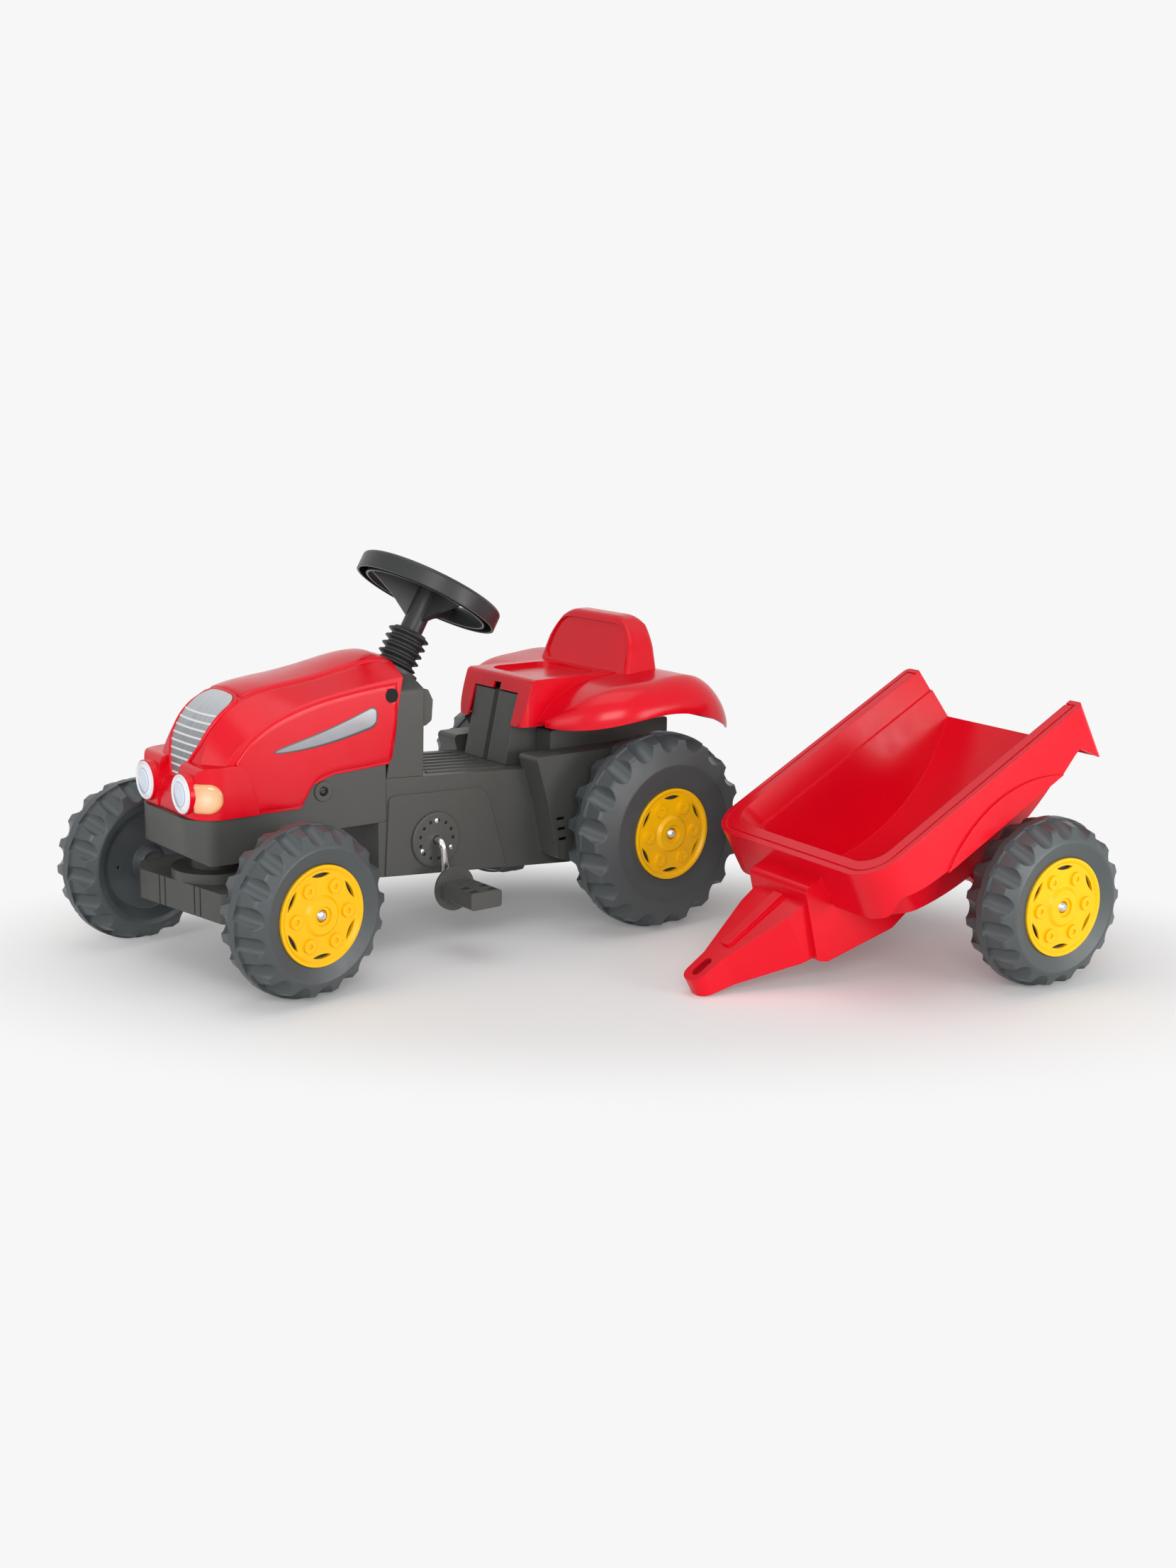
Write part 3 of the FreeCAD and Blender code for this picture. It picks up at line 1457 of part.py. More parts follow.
def seat_pieces():
    origin = (seat_rear_x, seat_low_z)
    span = (seat_length, seat_height)
    wall = seat_wall
    fender = fender_form(0).cut(fender_form(wall))
    pan_points = scaled(pan_outline_shares, origin, span)
    pan_half = pan_half_width
    pan_plan = [
        (pan_points[4][0], -pan_half),
        (pan_points[0][0], -pan_half),
        (pan_points[0][0], pan_half),
        (pan_points[4][0], pan_half),
    ]
    soft = pan_round
    top = pan_points[1][1]
    low = seat_low_z - overrun
    pan = side_prism(pan_points, [0, soft, soft, soft, 0], -pan_half, pan_half)
    pan = pan.common(plan_prism(pan_plan, [0, pan_corner, pan_corner, 0], low, top + overrun))
    pan_inner = inset(pan_points, [wall, wall + dish_depth, wall, wall, -overrun])
    inner_corner = pan_corner - wall
    pan_hollow = side_prism(pan_inner, 0, -pan_half + wall, pan_half - wall).common(
        plan_prism(inset(pan_plan, wall), [0, inner_corner, inner_corner, 0], low - overrun, top)
    )
    dish_rear = seat_rear_x + dish_shares[0][0] * seat_length
    dish_front = seat_rear_x + dish_shares[0][1] * seat_length
    dish_points = [
        (dish_rear, -dish_half_width),
        (dish_front, -dish_half_width),
        (dish_front, dish_half_width),
        (dish_rear, dish_half_width),
    ]
    dish = plan_prism(dish_points, dish_round, top - dish_depth, top + overrun)
    side_points = scaled(back_side_shares, origin, span)
    back_low = side_points[0][1]
    back_top = side_points[1][1]
    front_points = [
        (-back_half_low, back_low),
        (back_half_low, back_low),
        (back_half_top, back_top),
        (-back_half_top, back_top),
    ]

    def back_form(shrink, drop):
        wires = []
        levels = (
            (side_points[3][0], side_points[0][0], back_half_low, back_low - drop),
            (side_points[2][0], side_points[1][0], back_half_top, back_top - shrink),
        )
        for rear, front, half, z in levels:
            points = [(front, half), (front, -half), (rear, -half), (rear, half)]
            wire = rounded_wire(inset(points, shrink), back_round - shrink, on_plan)
            wire.translate(Vector(0, 0, z))
            wires.append(wire)
        return Part.makeLoft(wires, True, True)

    edge = back_edge_round
    side = side_prism(side_points, [0, edge, edge, 0], -seat_half_width, seat_half_width)
    back = back_form(0, 0).common(side)
    corner = back_corner
    back = back.common(front_prism(front_points, [0, 0, corner, corner], seat_rear_x, dish_front))
    thick = wall + back_panel_depth
    back_hollow = back_form(thick, overrun)
    panel_points = inset(front_points, back_panel_margin)
    panel = front_prism(panel_points, back_panel_round, side_points[0][0], dish_front)
    lean = math.degrees(math.atan2(side_points[0][0] - side_points[1][0], back_top - back_low))
    panel.rotate(Vector(side_points[0][0], 0, back_low), Vector(0, 1, 0), -lean)
    panel.translate(Vector(-back_panel_depth, 0, 0))
    rib_rear = seat_rear_x + rib_shares[0][0] * seat_length
    rib_front = seat_rear_x + rib_shares[0][1] * seat_length
    rib = block(rib_rear, rib_front, rib_y, rib_y + rib_thickness, tub_top_z + piece_gap, top - dish_depth)
    slot_rear = rib_front + wall
    slot_front = seat_rear_x + seat_length + overrun
    slot_top = seat_low_z + slot_share * seat_height
    notch_top = seat_low_z + notch_share * seat_height
    shell = fused([fender, mirrored(fender), pan])
    shell = fused([shell.cut(pan_hollow), back])
    cuts = [
        dish,
        back_hollow,
        panel,
        block(slot_rear, slot_front, -slot_half_width, slot_half_width, 0, slot_top),
        block(slot_rear, slot_front, -notch_half_width, notch_half_width, 0, notch_top),
    ]
    for tool in cuts:
        shell = shell.cut(tool)
    export("seat_shell", fused([shell, rib, mirrored(rib)]))


def crank_pieces(crank_x):
    angle = math.radians(crank_rest_angle)
    pin_x = crank_throw * math.cos(angle)
    pin_z = crank_throw * math.sin(angle)
    points = [
        Vector(crank_x + pin_x, crank_end_y, crank_z + pin_z),
        Vector(crank_x + pin_x, crank_arm_y, crank_z + pin_z),
        Vector(crank_x, crank_arm_y, crank_z),
        Vector(crank_x, -crank_arm_y, crank_z),
        Vector(crank_x - pin_x, -crank_arm_y, crank_z - pin_z),
        Vector(crank_x - pin_x, -crank_end_y, crank_z - pin_z),
    ]
    export("crankshaft", bent_rod(points, rod_radius, rod_bend))
    bore = rod_radius + running_fit
    half = tub_half_width
    bush_end = half + panel_rise - piece_gap
    bush = rod_y(crank_x, crank_z, crank_bush_radius, half - crank_bush_length, bush_end)
    bush = bush.cut(rod_y(crank_x, crank_z, bore, 0, half + overrun))
    export("crank_bushes", Part.makeCompound([bush, mirrored(bush)]))
    wide = housing_half_width
    rear_bush = rod_y(0, rear_tyre_radius, crank_bush_radius, wide - crank_bush_length, wide)
    collar = rod_y(0, rear_tyre_radius, crank_bush_radius + tub_wall, wide + piece_gap, wide + tub_wall)
    sleeve = rod_y(0, rear_tyre_radius, crank_bush_radius, wide - tub_wall, wide + tub_wall)
    rear_bush = fused([rear_bush, collar, sleeve])
    rear_bush = rear_bush.cut(rod_y(0, rear_tyre_radius, axle_radius + running_fit, 0, wide + overrun))
    export("rear_axle_bushes", Part.makeCompound([rear_bush, mirrored(rear_bush)]))
    inner = half + panel_rise
    outer = inner + crank_cover_thickness
    edge = crank_cover_round
    profile = [
        (inner, bore + body_gap),
        (inner, crank_cover_radius),
        (outer, crank_cover_radius),
        (outer, bore + body_gap),
    ]
    cover = turned_y(profile, [0, 0, edge, 0])
    holes = []
    for i in range(crank_cover_hole_count):
        turn = math.radians(full_turn * (i + 1 / 2) / crank_cover_hole_count)
        x = crank_cover_hole_circle * math.cos(turn)
        z = crank_cover_hole_circle * math.sin(turn)
        holes.append(rod_y(x, z, crank_cover_hole_radius, inner - overrun, outer + overrun))
    cover = cut_all(cover, holes)
    cover.translate(Vector(crank_x, 0, crank_z))
    export("crank_cover_left", cover)
    export("crank_cover_right", mirrored(cover))
    start = pedal_inner_y
    flange = [
        (start, bore),
        (start, pedal_flange_radius - pedal_flange_thickness),
        (start + pedal_flange_thickness / 2, pedal_flange_radius),
        (start + pedal_flange_thickness, pedal_flange_radius),
        (start + pedal_flange_thickness, bore),
    ]
    disc = turned_y(flange, 0)
    section = [
        (-pedal_half_width, -pedal_half_height),
        (pedal_half_width, -pedal_half_height),
        (pedal_half_width, pedal_half_height),
        (-pedal_half_width, pedal_half_height),
    ]
    foot = side_prism(section, pedal_round, start + pedal_flange_thickness / 2, pedal_outer_y)
    pedal = fused([disc, foot])
    cuts = [rod_y(0, 0, bore, start - overrun, crank_end_y + body_gap)]
    length = pedal_outer_y - pedal_inner_y
    for side in (1, -1):
        for share in pedal_slot_shares:
            y = pedal_inner_y + share * length
            x = side * pedal_half_width / 2 + side * bore / 2
            cuts.append(
                block(
                    x - pedal_slot / 2,
                    x + pedal_slot / 2,
                    y - pedal_slot / 2,
                    y + pedal_slot / 2,
                    -pedal_half_height - overrun,
                    pedal_half_height + overrun,
                )
            )
        for share in pedal_rib_shares:
            y = pedal_inner_y + share * length
            edge_z = side * pedal_half_height
            cuts.append(
                block(
                    -pedal_half_width - overrun,
                    pedal_half_width + overrun,
                    y - pedal_rib_depth,
                    y + pedal_rib_depth,
                    edge_z - pedal_rib_depth,
                    edge_z + pedal_rib_depth,
                )
            )
    pedal = cut_all(pedal, cuts)
    left = pedal.copy()
    left.translate(points[0] - Vector(0, crank_end_y, 0))
    right = mirrored(pedal)
    right.translate(points[5] + Vector(0, crank_end_y, 0))
    export("pedal_left", left)
    export("pedal_right", right)


def sprocket(x, z, teeth, pitch_radius, phase, rollers):
    """A toothed disc with its hub; its tooth gaps clear the rollers of the chain around it."""
    low = chain_y - sprocket_thickness / 2
    high = chain_y + sprocket_thickness / 2
    disc = rod_y(x, z, pitch_radius + tooth_rise, low, high)
    hub = rod_y(x, z, sprocket_hub_radius, chain_y - sprocket_hub_half, chain_y + sprocket_hub_half)
    cuts = [rod_y(x, z, axle_radius + push_fit, chain_y - overrun * 2, chain_y + overrun * 2)]
    seats = list(rollers)
    for i in range(teeth):
        turn = phase + 2 * math.pi * i / teeth
        seats.append((x + pitch_radius * math.cos(turn), z + pitch_radius * math.sin(turn)))
    for seat in seats:
        cuts.append(rod_y(seat[0], seat[1], roller_radius + roller_gap, low - overrun, high + overrun))
    return cut_all(fused([disc, hub]), cuts)


def chain_pieces(drive, driven, slope, links, crank_x):
    rise = crank_rise
    distance = math.hypot(crank_x, rise)
    heading = math.atan2(rise, crank_x)
    run = distance * math.cos(slope)
    upper = heading + math.pi / 2 + slope
    lower = heading - math.pi / 2 - slope
    front_wrap = math.pi + 2 * slope
    rear_start = run * 2 + drive * front_wrap
    loop = links * chain_pitch

    def spot(along, lift):
        if along < run:
            share = along / run
            reach = driven + share * (drive - driven) + lift
            x = share * crank_x + reach * math.cos(upper)
            z = rear_tyre_radius + share * rise + reach * math.sin(upper)
            return x, z
        if along < run + drive * front_wrap:
            turn = upper - (along - run) / drive
            return crank_x + (drive + lift) * math.cos(turn), crank_z + (drive + lift) * math.sin(turn)
        if along < rear_start:
            share = (along - run - drive * front_wrap) / run
            reach = drive + share * (driven - drive) + lift
            x = (1 - share) * crank_x + reach * math.cos(lower)
            z = rear_tyre_radius + (1 - share) * rise + reach * math.sin(lower)
            return x, z
        turn = lower - (along - rear_start) / driven
        return (driven + lift) * math.cos(turn), rear_tyre_radius + (driven + lift) * math.sin(turn)

    def loop_wire(lift):
        stops = [0, run, run + drive * front_wrap, rear_start, loop]
        corners = [spot(stop, lift) for stop in stops[:4]]
        front = spot((stops[1] + stops[2]) / 2, lift)
        back = spot((stops[3] + stops[4]) / 2, lift)
        at = [Vector(p[0], 0, p[1]) for p in corners]
        edges = [
            line(at[0], at[1]),
            Part.Arc(at[1], Vector(front[0], 0, front[1]), at[2]).toShape(),
            line(at[2], at[3]),
            Part.Arc(at[3], Vector(back[0], 0, back[1]), at[0]).toShape(),
        ]
        return Part.Wire(edges)

    band = Part.Face(loop_wire(chain_half_height)).cut(Part.Face(loop_wire(-chain_half_height)))
    plate = band.Faces[0].extrude(Vector(0, chain_plate, 0))
    near = plate.copy()
    near.translate(Vector(0, chain_y + chain_gap, 0))
    far = plate.copy()
    far.translate(Vector(0, chain_y - chain_gap - chain_plate, 0))
    pieces = [near, far]
    width = chain_gap + chain_plate / 2
    rollers = [spot(i * chain_pitch, 0) for i in range(links)]
    for x, z in rollers:
        pieces.append(rod_y(x, z, roller_radius, chain_y - width, chain_y + width))
    export("chain", fused(pieces))
    first = rollers[math.ceil(run / chain_pitch)]
    front_phase = math.atan2(first[1] - crank_z, first[0] - crank_x)
    last = rollers[math.ceil(rear_start / chain_pitch)]
    rear_phase = math.atan2(last[1] - rear_tyre_radius, last[0])
    export("drive_sprocket", sprocket(crank_x, crank_z, drive_teeth, drive, front_phase, rollers))
    export("driven_sprocket", sprocket(0, rear_tyre_radius, driven_teeth, driven, rear_phase, rollers))


def hitch():
    half = hitch_half_width
    end = tub_rear_x - hitch_reach
    middle_z = hitch_top_z - hitch_height / 2
    low = hitch_top_z - hitch_height
    plan = [
        (tub_rear_x, -half),
        (end, -half),
        (end, half),
        (tub_rear_x, half),
    ]
    shelf = plan_prism(plan, [0, hitch_round, hitch_round, 0], low, hitch_top_z)
    hollow_plan = inset(plan, [shell_wall, shell_wall, shell_wall, -overrun])
    hollow = plan_prism(hollow_plan, 0, low - overrun, hitch_top_z - tub_wall)
    flange = front_prism(
        [
            (-hitch_flange_half_width, middle_z - hitch_flange_half_height),
            (hitch_flange_half_width, middle_z - hitch_flange_half_height),
            (hitch_flange_half_width, middle_z + hitch_flange_half_height),
            (-hitch_flange_half_width, middle_z + hitch_flange_half_height),
        ],
        hitch_flange,
        tub_rear_x - hitch_flange,
        tub_rear_x,
    )
    pin_x = end + hitch_round
    boss = rod_z(pin_x, 0, hitch_pin_radius * 2, low, hitch_top_z)
    body = fused([shelf.cut(hollow), flange, boss])
    hole = rod_z(pin_x, 0, hitch_stem_radius + push_fit, low - overrun, hitch_top_z + overrun)
    export("hitch_bracket", body.cut(hole))
    top = hitch_top_z + hitch_pin_height
    profile = [
        (0, low),
        (hitch_stem_radius, low),
        (hitch_stem_radius, hitch_top_z),
        (hitch_pin_radius, hitch_top_z),
        (hitch_pin_radius, top - hitch_pin_chamfer),
        (hitch_pin_radius - hitch_pin_chamfer, top),
        (0, top),
    ]
    pin = turned_z(profile, 0)
    pin.translate(Vector(pin_x, 0, 0))
    export("hitch_pin", pin)


def trailer_tilt():
    """The nose-down angle that sets the drawbar's tip on the floor."""
    reach = math.hypot(tongue_tip_x, tongue_tip_low)
    angle = math.asin(trailer_wheel_radius / reach) + math.atan2(tongue_tip_low, tongue_tip_x)
    return math.degrees(angle)


def at_trailer(shape):
    moved = shape.copy()
    moved.rotate(Vector(0, 0, 0), Vector(0, 0, 1), trailer_yaw)
    moved.translate(Vector(trailer_axle_x, trailer_axle_y, trailer_wheel_radius))
    return moved


def load_form(grow):
    """The trailer's load space, its floor and walls moved outwards by grow."""
    top = box_rim_z + overrun
    rear = box_rear_x - overrun
    far = box_front_x + overrun
    floor = scaled(box_floor_shares, (box_rear_x, 0), (box_length, box_rim_z))
    spots = [Vector(p[0], 0, p[1] - grow) for p in floor]
    front = Vector(far, 0, spots[0].z)
    edges = [
        line(front, spots[0]),
        Part.Arc(spots[0], spots[1], spots[2]).toShape(),
        line(spots[2], Vector(spots[2].x, 0, top)),
        line(Vector(spots[2].x, 0, top), Vector(far, 0, top)),
        line(Vector(far, 0, top), front),
    ]
    face = Part.Face(Part.Wire(edges))
    face.translate(Vector(0, -box_half_width, 0))
    profile = face.extrude(Vector(0, box_half_width * 2, 0))
    floor_z = floor[1][1]
    mouth_x = box_front_x - box_flange - box_step
    wires = []
    for z in (floor_z - box_flange, top):
        share = (z - floor_z) / (box_rim_z - floor_z)
        half = box_floor_half + (box_mouth_half - box_floor_half) * share + grow
        end = floor[0][0] + (mouth_x - floor[0][0]) * share + grow
        points = [(rear, -half), (end, -half), (end, half), (rear, half)]
        soft = box_mouth_round + grow
        wire = rounded_wire(points, [0, soft, soft, 0], on_plan)
        wire.translate(Vector(0, 0, z))
        wires.append(wire)
    return profile.common(Part.makeLoft(wires, True, True))


def trailer_skirt(plan, rounds):
    """The hanging edge below the trailer's rim, with a wave, a hooked tail and a gap over the drawbar."""
    origin = (box_rear_x, 0)
    span = (box_length, box_rim_z)
    wall = box_wall
    half = box_half_width
    inner_rounds = [r - wall for r in rounds]
    ring = plan_prism(plan, rounds, 0, box_rim_z)
    ring = ring.cut(plan_prism(inset(plan, wall), inner_rounds, -overrun, box_rim_z + overrun))
    outline = scaled(skirt_outline_shares, origin, span)
    skirt = ring.common(side_prism(outline, skirt_rounds, -half - overrun, half + overrun))
    half_gap = scaled(skirt_gap_shares, (0, 0), (half, box_rim_z))
    gap_points = half_gap + [(-p[0], p[1]) for p in reversed(half_gap)]
    soft = skirt_gap_round
    gap_rounds = [0, soft, soft, soft, soft, 0]
    return skirt.cut(front_prism(gap_points, gap_rounds, box_front_x - box_flange, box_front_x + overrun))


def trailer_arch():
    """A raised panel over the left wheel, bounded by an arc."""
    low = box_rim_z * arch_low_share
    start = Vector(-arch_half, 0, low)
    end = Vector(arch_half, 0, low)
    curve = Part.Arc(start, Vector(0, 0, box_rim_z * arch_top_share), end).toShape()
    face = Part.Face(Part.Wire([curve, line(end, start)]))
    face.translate(Vector(0, box_half_width - box_wall / 2, 0))
    return face.extrude(Vector(0, box_wall / 2 + arch_rise, 0))


def trailer_tongue():
    """The hollow drawbar with the rib on its back, and the slot through its end."""
    origin = (box_rear_x, 0)
    span = (box_length, box_rim_z)
    wall = box_wall
    half = box_half_width
    side_points = scaled(tongue_side_shares, origin, span)
    half_plan = scaled(tongue_plan_shares, origin, span) + [(tongue_tip_x, tongue_tip_half)]
    plan = [(p[0], -p[1]) for p in half_plan] + half_plan[::-1]
    count = len(plan)
    rounding = [0] * count
    rounding[count // 2 - 1] = tongue_round
    rounding[count // 2] = tongue_round
    shaft = side_prism(side_points, 0, -half, half).common(plan_prism(plan, rounding, 0, box_rim_z))
    hollow_side = inset(side_points, [wall, wall, wall, -overrun, -overrun, -overrun])
    hollow_plan = inset(plan, [wall] * (count - 1) + [-overrun])
    rounding = [max(0, r - wall) for r in rounding]
    hollow = side_prism(hollow_side, 0, -half, half).common(
        plan_prism(hollow_plan, rounding, -box_rim_z, box_rim_z)
    )
    ridge = scaled(tongue_rib_shares, origin, span)
    rib_side = [
        (ridge[0][0], ridge[0][1] - wall),
        (ridge[1][0], ridge[1][1] - wall),
        (ridge[1][0], ridge[1][1] + tongue_rib_rise),
        (ridge[0][0], ridge[0][1] + tongue_rib_rise),
    ]
    rib_plan = [
        (ridge[0][0], -tongue_rib_half),
        (ridge[1][0], -tongue_rib_half),
        (ridge[1][0], tongue_rib_half),
        (ridge[0][0], tongue_rib_half),
    ]
    soft = tongue_rib_round
    rib = side_prism(rib_side, 0, -half, half)
    rib = rib.common(plan_prism(rib_plan, [0, soft, soft, 0], 0, box_rim_z))
    eye_half = eye_width / 2
    eye_points = [
        (eye_x - eye_length / 2, -eye_half),
        (eye_x + eye_length / 2, -eye_half),
        (eye_x + eye_length / 2, eye_half),
        (eye_x - eye_length / 2, eye_half),
    ]
    eye = plan_prism(eye_points, eye_half - push_fit, 0, box_rim_z)
    return fused([shaft.cut(hollow), rib]), eye


def trailer_tub():
    origin = (box_rear_x, 0)
    span = (box_length, box_rim_z)
    wall = box_wall
    half = box_half_width
    plan = [
        (box_rear_x, -half),
        (box_front_x, -half),
        (box_front_x, half),
        (box_rear_x, half),
    ]
    rounds = [box_rear_round, box_front_round, box_front_round, box_rear_round]
    flange = plan_prism(plan, rounds, box_rim_z - wall, box_rim_z)
    step_z = box_rim_z * box_step_share
    upper = block(box_rear_x - overrun * 2, box_front_x, -half, half, step_z, box_rim_z + overrun * 2)
    upper_skin = block(box_rear_x, box_front_x, -half, half, step_z - wall, box_rim_z)
    bounds = block(box_rear_x, box_front_x, -half, half, 0, box_rim_z)
    hull = load_form(wall).common(bounds).fuse(load_form(wall + box_step).common(upper_skin))
    cavity = load_form(0).fuse(load_form(box_step).common(upper))
    tail_low = box_rim_z * tail_lip_share
    tail = block(box_rear_x, box_rear_x + wall, -half, half, tail_low, box_rim_z).common(
        plan_prism(plan, rounds, 0, box_rim_z)
    )
    block_points = scaled(block_outline_shares, origin, span)
    front_block = side_prism(block_points, block_rounds, -block_half_width, block_half_width)
    block_side = block_half_width - wall
    block_edges = [wall, wall, -overrun, -overrun, -overrun, wall, wall]
    block_hollow = side_prism(inset(block_points, block_edges), 0, -block_side, block_side)
    saddle_points = scaled(saddle_outline_shares, origin, span)
    saddle = side_prism(saddle_points, saddle_round, saddle_y - saddle_thickness, saddle_y)
    tongue, eye = trailer_tongue()
    arch = trailer_arch()
    pieces = [hull, front_block.cut(block_hollow), tongue, flange, trailer_skirt(plan, rounds), tail]
    pieces += [saddle, mirrored(saddle), arch, mirrored(arch)]
    body = fused(pieces)
    bore = rod_y(0, 0, axle_radius + running_fit, -half, half)
    inner_line = groove_inset + groove_width
    groove_low = box_rim_z - groove_depth
    outer_round = box_front_round - groove_inset
    inner_round = box_front_round - inner_line
    above = box_rim_z + overrun
    outer_plan = inset(plan, [groove_inset] * len(rounds))
    inner_plan = inset(plan, [inner_line] * len(rounds))
    groove = plan_prism(outer_plan, [0, outer_round, outer_round, 0], groove_low, above)
    groove = groove.cut(plan_prism(inner_plan, [0, inner_round, inner_round, 0], 0, above))
    for tool in (cavity, bore, eye, groove):
        body = body.cut(tool)
    body = body.removeSplitter()
    body.rotate(Vector(0, 0, 0), Vector(0, 1, 0), trailer_tilt())
    export("trailer_tub", at_trailer(body))


os.makedirs("parts", exist_ok=True)
drive_radius, driven_radius, chain_slope, chain_links, crank_place_x = chain_geometry()
wheel_set("front", front_tyre_radius, at_front)
wheel_set("rear", rear_tyre_radius, at_rear)
wheel_set("trailer", trailer_wheel_radius, at_trailer)
steering_pieces()
front_axle_pieces()
front_frame()
chassis_tub(crank_place_x)
dash_cowl()
hood_pieces()
column_pieces()
seat_pieces()
crank_pieces(crank_place_x)
chain_pieces(drive_radius, driven_radius, chain_slope, chain_links, crank_place_x)
hitch()
trailer_tub()
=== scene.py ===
import json
import math

import bmesh
import bpy
from mathutils import Matrix, Vector
from mathutils.bvhtree import BVHTree


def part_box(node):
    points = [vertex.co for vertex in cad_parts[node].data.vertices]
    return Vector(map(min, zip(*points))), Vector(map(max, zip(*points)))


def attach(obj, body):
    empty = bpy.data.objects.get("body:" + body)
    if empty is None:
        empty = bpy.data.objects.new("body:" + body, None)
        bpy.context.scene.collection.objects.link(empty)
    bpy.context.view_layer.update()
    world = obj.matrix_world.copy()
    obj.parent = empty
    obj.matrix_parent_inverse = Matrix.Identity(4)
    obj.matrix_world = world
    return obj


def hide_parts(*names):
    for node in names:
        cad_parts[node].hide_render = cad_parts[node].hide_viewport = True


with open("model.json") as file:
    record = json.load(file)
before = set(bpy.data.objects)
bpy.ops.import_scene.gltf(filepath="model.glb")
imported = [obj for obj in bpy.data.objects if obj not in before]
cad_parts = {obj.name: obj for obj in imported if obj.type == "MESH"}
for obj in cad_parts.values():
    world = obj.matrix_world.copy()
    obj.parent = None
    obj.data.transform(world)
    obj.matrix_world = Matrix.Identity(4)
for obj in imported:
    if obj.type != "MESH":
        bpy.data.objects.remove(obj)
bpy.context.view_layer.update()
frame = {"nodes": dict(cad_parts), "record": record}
nodes = frame["nodes"]
scene = bpy.context.scene

# The camera stands in front of the tractor, to its left. Lengths are metres, angles radians.
image_height = 2212
focal_pixels = 2697.78
sensor_size = 36.0
camera_place = (1.60074, 2.08282, 0.72178)
camera_yaw = 0.9097
camera_pitch = 0.2096
camera_roll = 0.0138

# Studio
background = (0.931, 0.931, 0.931, 1.0)
floor_colour = (0.9, 0.9, 0.9, 1.0)
floor_size = 60.0
floor_centre = (0.13, 0.27)
floor_turn = math.radians(142.0)
floor_narrow = 0.56
fade_start = 0.5
fade_end = 0.98
floor_glow = 0.12
ambient_strength = 0.32
floor_roughness = 0.7
floor_specular = 0.1
light_aim = (0.3, 0.15, 0.15)
soft_boxes = [
    ("key_box", (1.5, 2.0, 1.0), light_aim, (1.3, 0.9), 24.0),
    ("top_box", (0.5, 0.3, 2.8), light_aim, (2.0, 2.0), 17.0),
    ("left_box", (-0.45, 1.9, 0.36), (0.35, 0.1, 0.25), (0.9, 0.66), 10.0),
    ("right_box", (2.4, 0.2, 0.9), light_aim, (1.0, 1.0), 6.0),
]

# Both sides of the tractor, as the sign of Y and the word in a name
sides = ((1.0, "left"), (-1.0, "right"))

# Points closer than this are one
weld_gap = 0.000001
sheet_weld_gap = 0.00001

# Steering column, as the solids have it
column_tilt = math.radians(30.0)
column_top = Vector((0.246, 0.0, 0.447))
column_axis = Vector((-math.sin(column_tilt), 0.0, math.cos(column_tilt)))


def linear(red, green, blue):
    """Scene colour of a screen colour given in 0 to 255."""
    def channel(value):
        share = value / 255.0
        return share / 12.92 if share <= 0.04045 else ((share + 0.055) / 1.055) ** 2.4
    return (channel(red), channel(green), channel(blue), 1.0)


# Materials

# The part of a noise's range that is stretched, and the rays that soften an edge
noise_low = 0.3
noise_high = 0.7
edge_samples = 6

# Sockets of a Mix node that mixes colours
mix_first = 6
mix_second = 7
mix_result = 2


class Shading:
    """A new material with one Principled shader and short ways to add nodes."""

    def __init__(self, name):
        self.material = bpy.data.materials.new(name)
        self.material.use_nodes = True
        self.tree = self.material.node_tree
        self.shader = self.tree.nodes["Principled BSDF"]
        self.place = self.add("ShaderNodeTexCoord").outputs["Object"]

    def add(self, kind, **inputs):
        node = self.tree.nodes.new(kind)
        for name, value in inputs.items():
            self.put(node.inputs[name.replace("_", " ")], value)
        return node

    def put(self, socket, value):
        if isinstance(value, bpy.types.NodeSocket):
            self.tree.links.new(value, socket)
        else:
            socket.default_value = value

    def set(self, **inputs):
        for name, value in inputs.items():
            self.put(self.shader.inputs[name.replace("_", " ")], value)

    def noise(self, scale, detail=3.0, place=None):
        node = self.add("ShaderNodeTexNoise", Scale=scale, Detail=detail)
        self.put(node.inputs["Vector"], place or self.place)
        return node.outputs["Fac"]

    def ramp(self, factor, stops):
        node = self.add("ShaderNodeValToRGB", Fac=factor)
        elements = node.color_ramp.elements
        while len(elements) < len(stops):
            elements.new(1.0)
        for element, (position, colour) in zip(elements, stops):
            element.position = position
            element.color = colour
        return node.outputs["Color"]

    def spread(self, factor, low, high):
        node = self.add("ShaderNodeMapRange", Value=factor)
        self.put(node.inputs["From Min"], noise_low)
        self.put(node.inputs["From Max"], noise_high)
        self.put(node.inputs["To Min"], low)
        self.put(node.inputs["To Max"], high)
        return node.outputs["Result"]

    def combine(self, operation, first, second):
        node = self.add("ShaderNodeMath")
        node.operation = operation
        self.put(node.inputs[0], first)
        self.put(node.inputs[1], second)
        return node.outputs["Value"]

    def between(self, value, low, high):
        """0 at low and 1 at high, held at both ends."""
        node = self.add("ShaderNodeMapRange", Value=value)
        self.put(node.inputs["From Min"], low)
        self.put(node.inputs["From Max"], high)
        return node.outputs["Result"]

    def bump(self, height, strength, distance, normal=None):
        node = self.add("ShaderNodeBump", Height=height, Strength=strength, Distance=distance)
        if normal is not None:
            self.put(node.inputs["Normal"], normal)
        return node.outputs["Normal"]

    def soft_edges(self, radius):
        node = self.add("ShaderNodeBevel", Radius=radius)
        node.samples = edge_samples
        return node.outputs["Normal"]


def tint(colour, share):
    """A colour made darker or paler by a share."""
    return tuple(min(1.0, value * share) for value in colour[:3]) + (1.0,)


# Moulded plastic: its colour drift, uneven gloss and grain
drift_scale = 7.0
drift_dark = 0.95
drift_pale = 1.04
gloss_scale = 45.0
gloss_less = 0.03
gloss_more = 0.05
grain_strength = 0.2


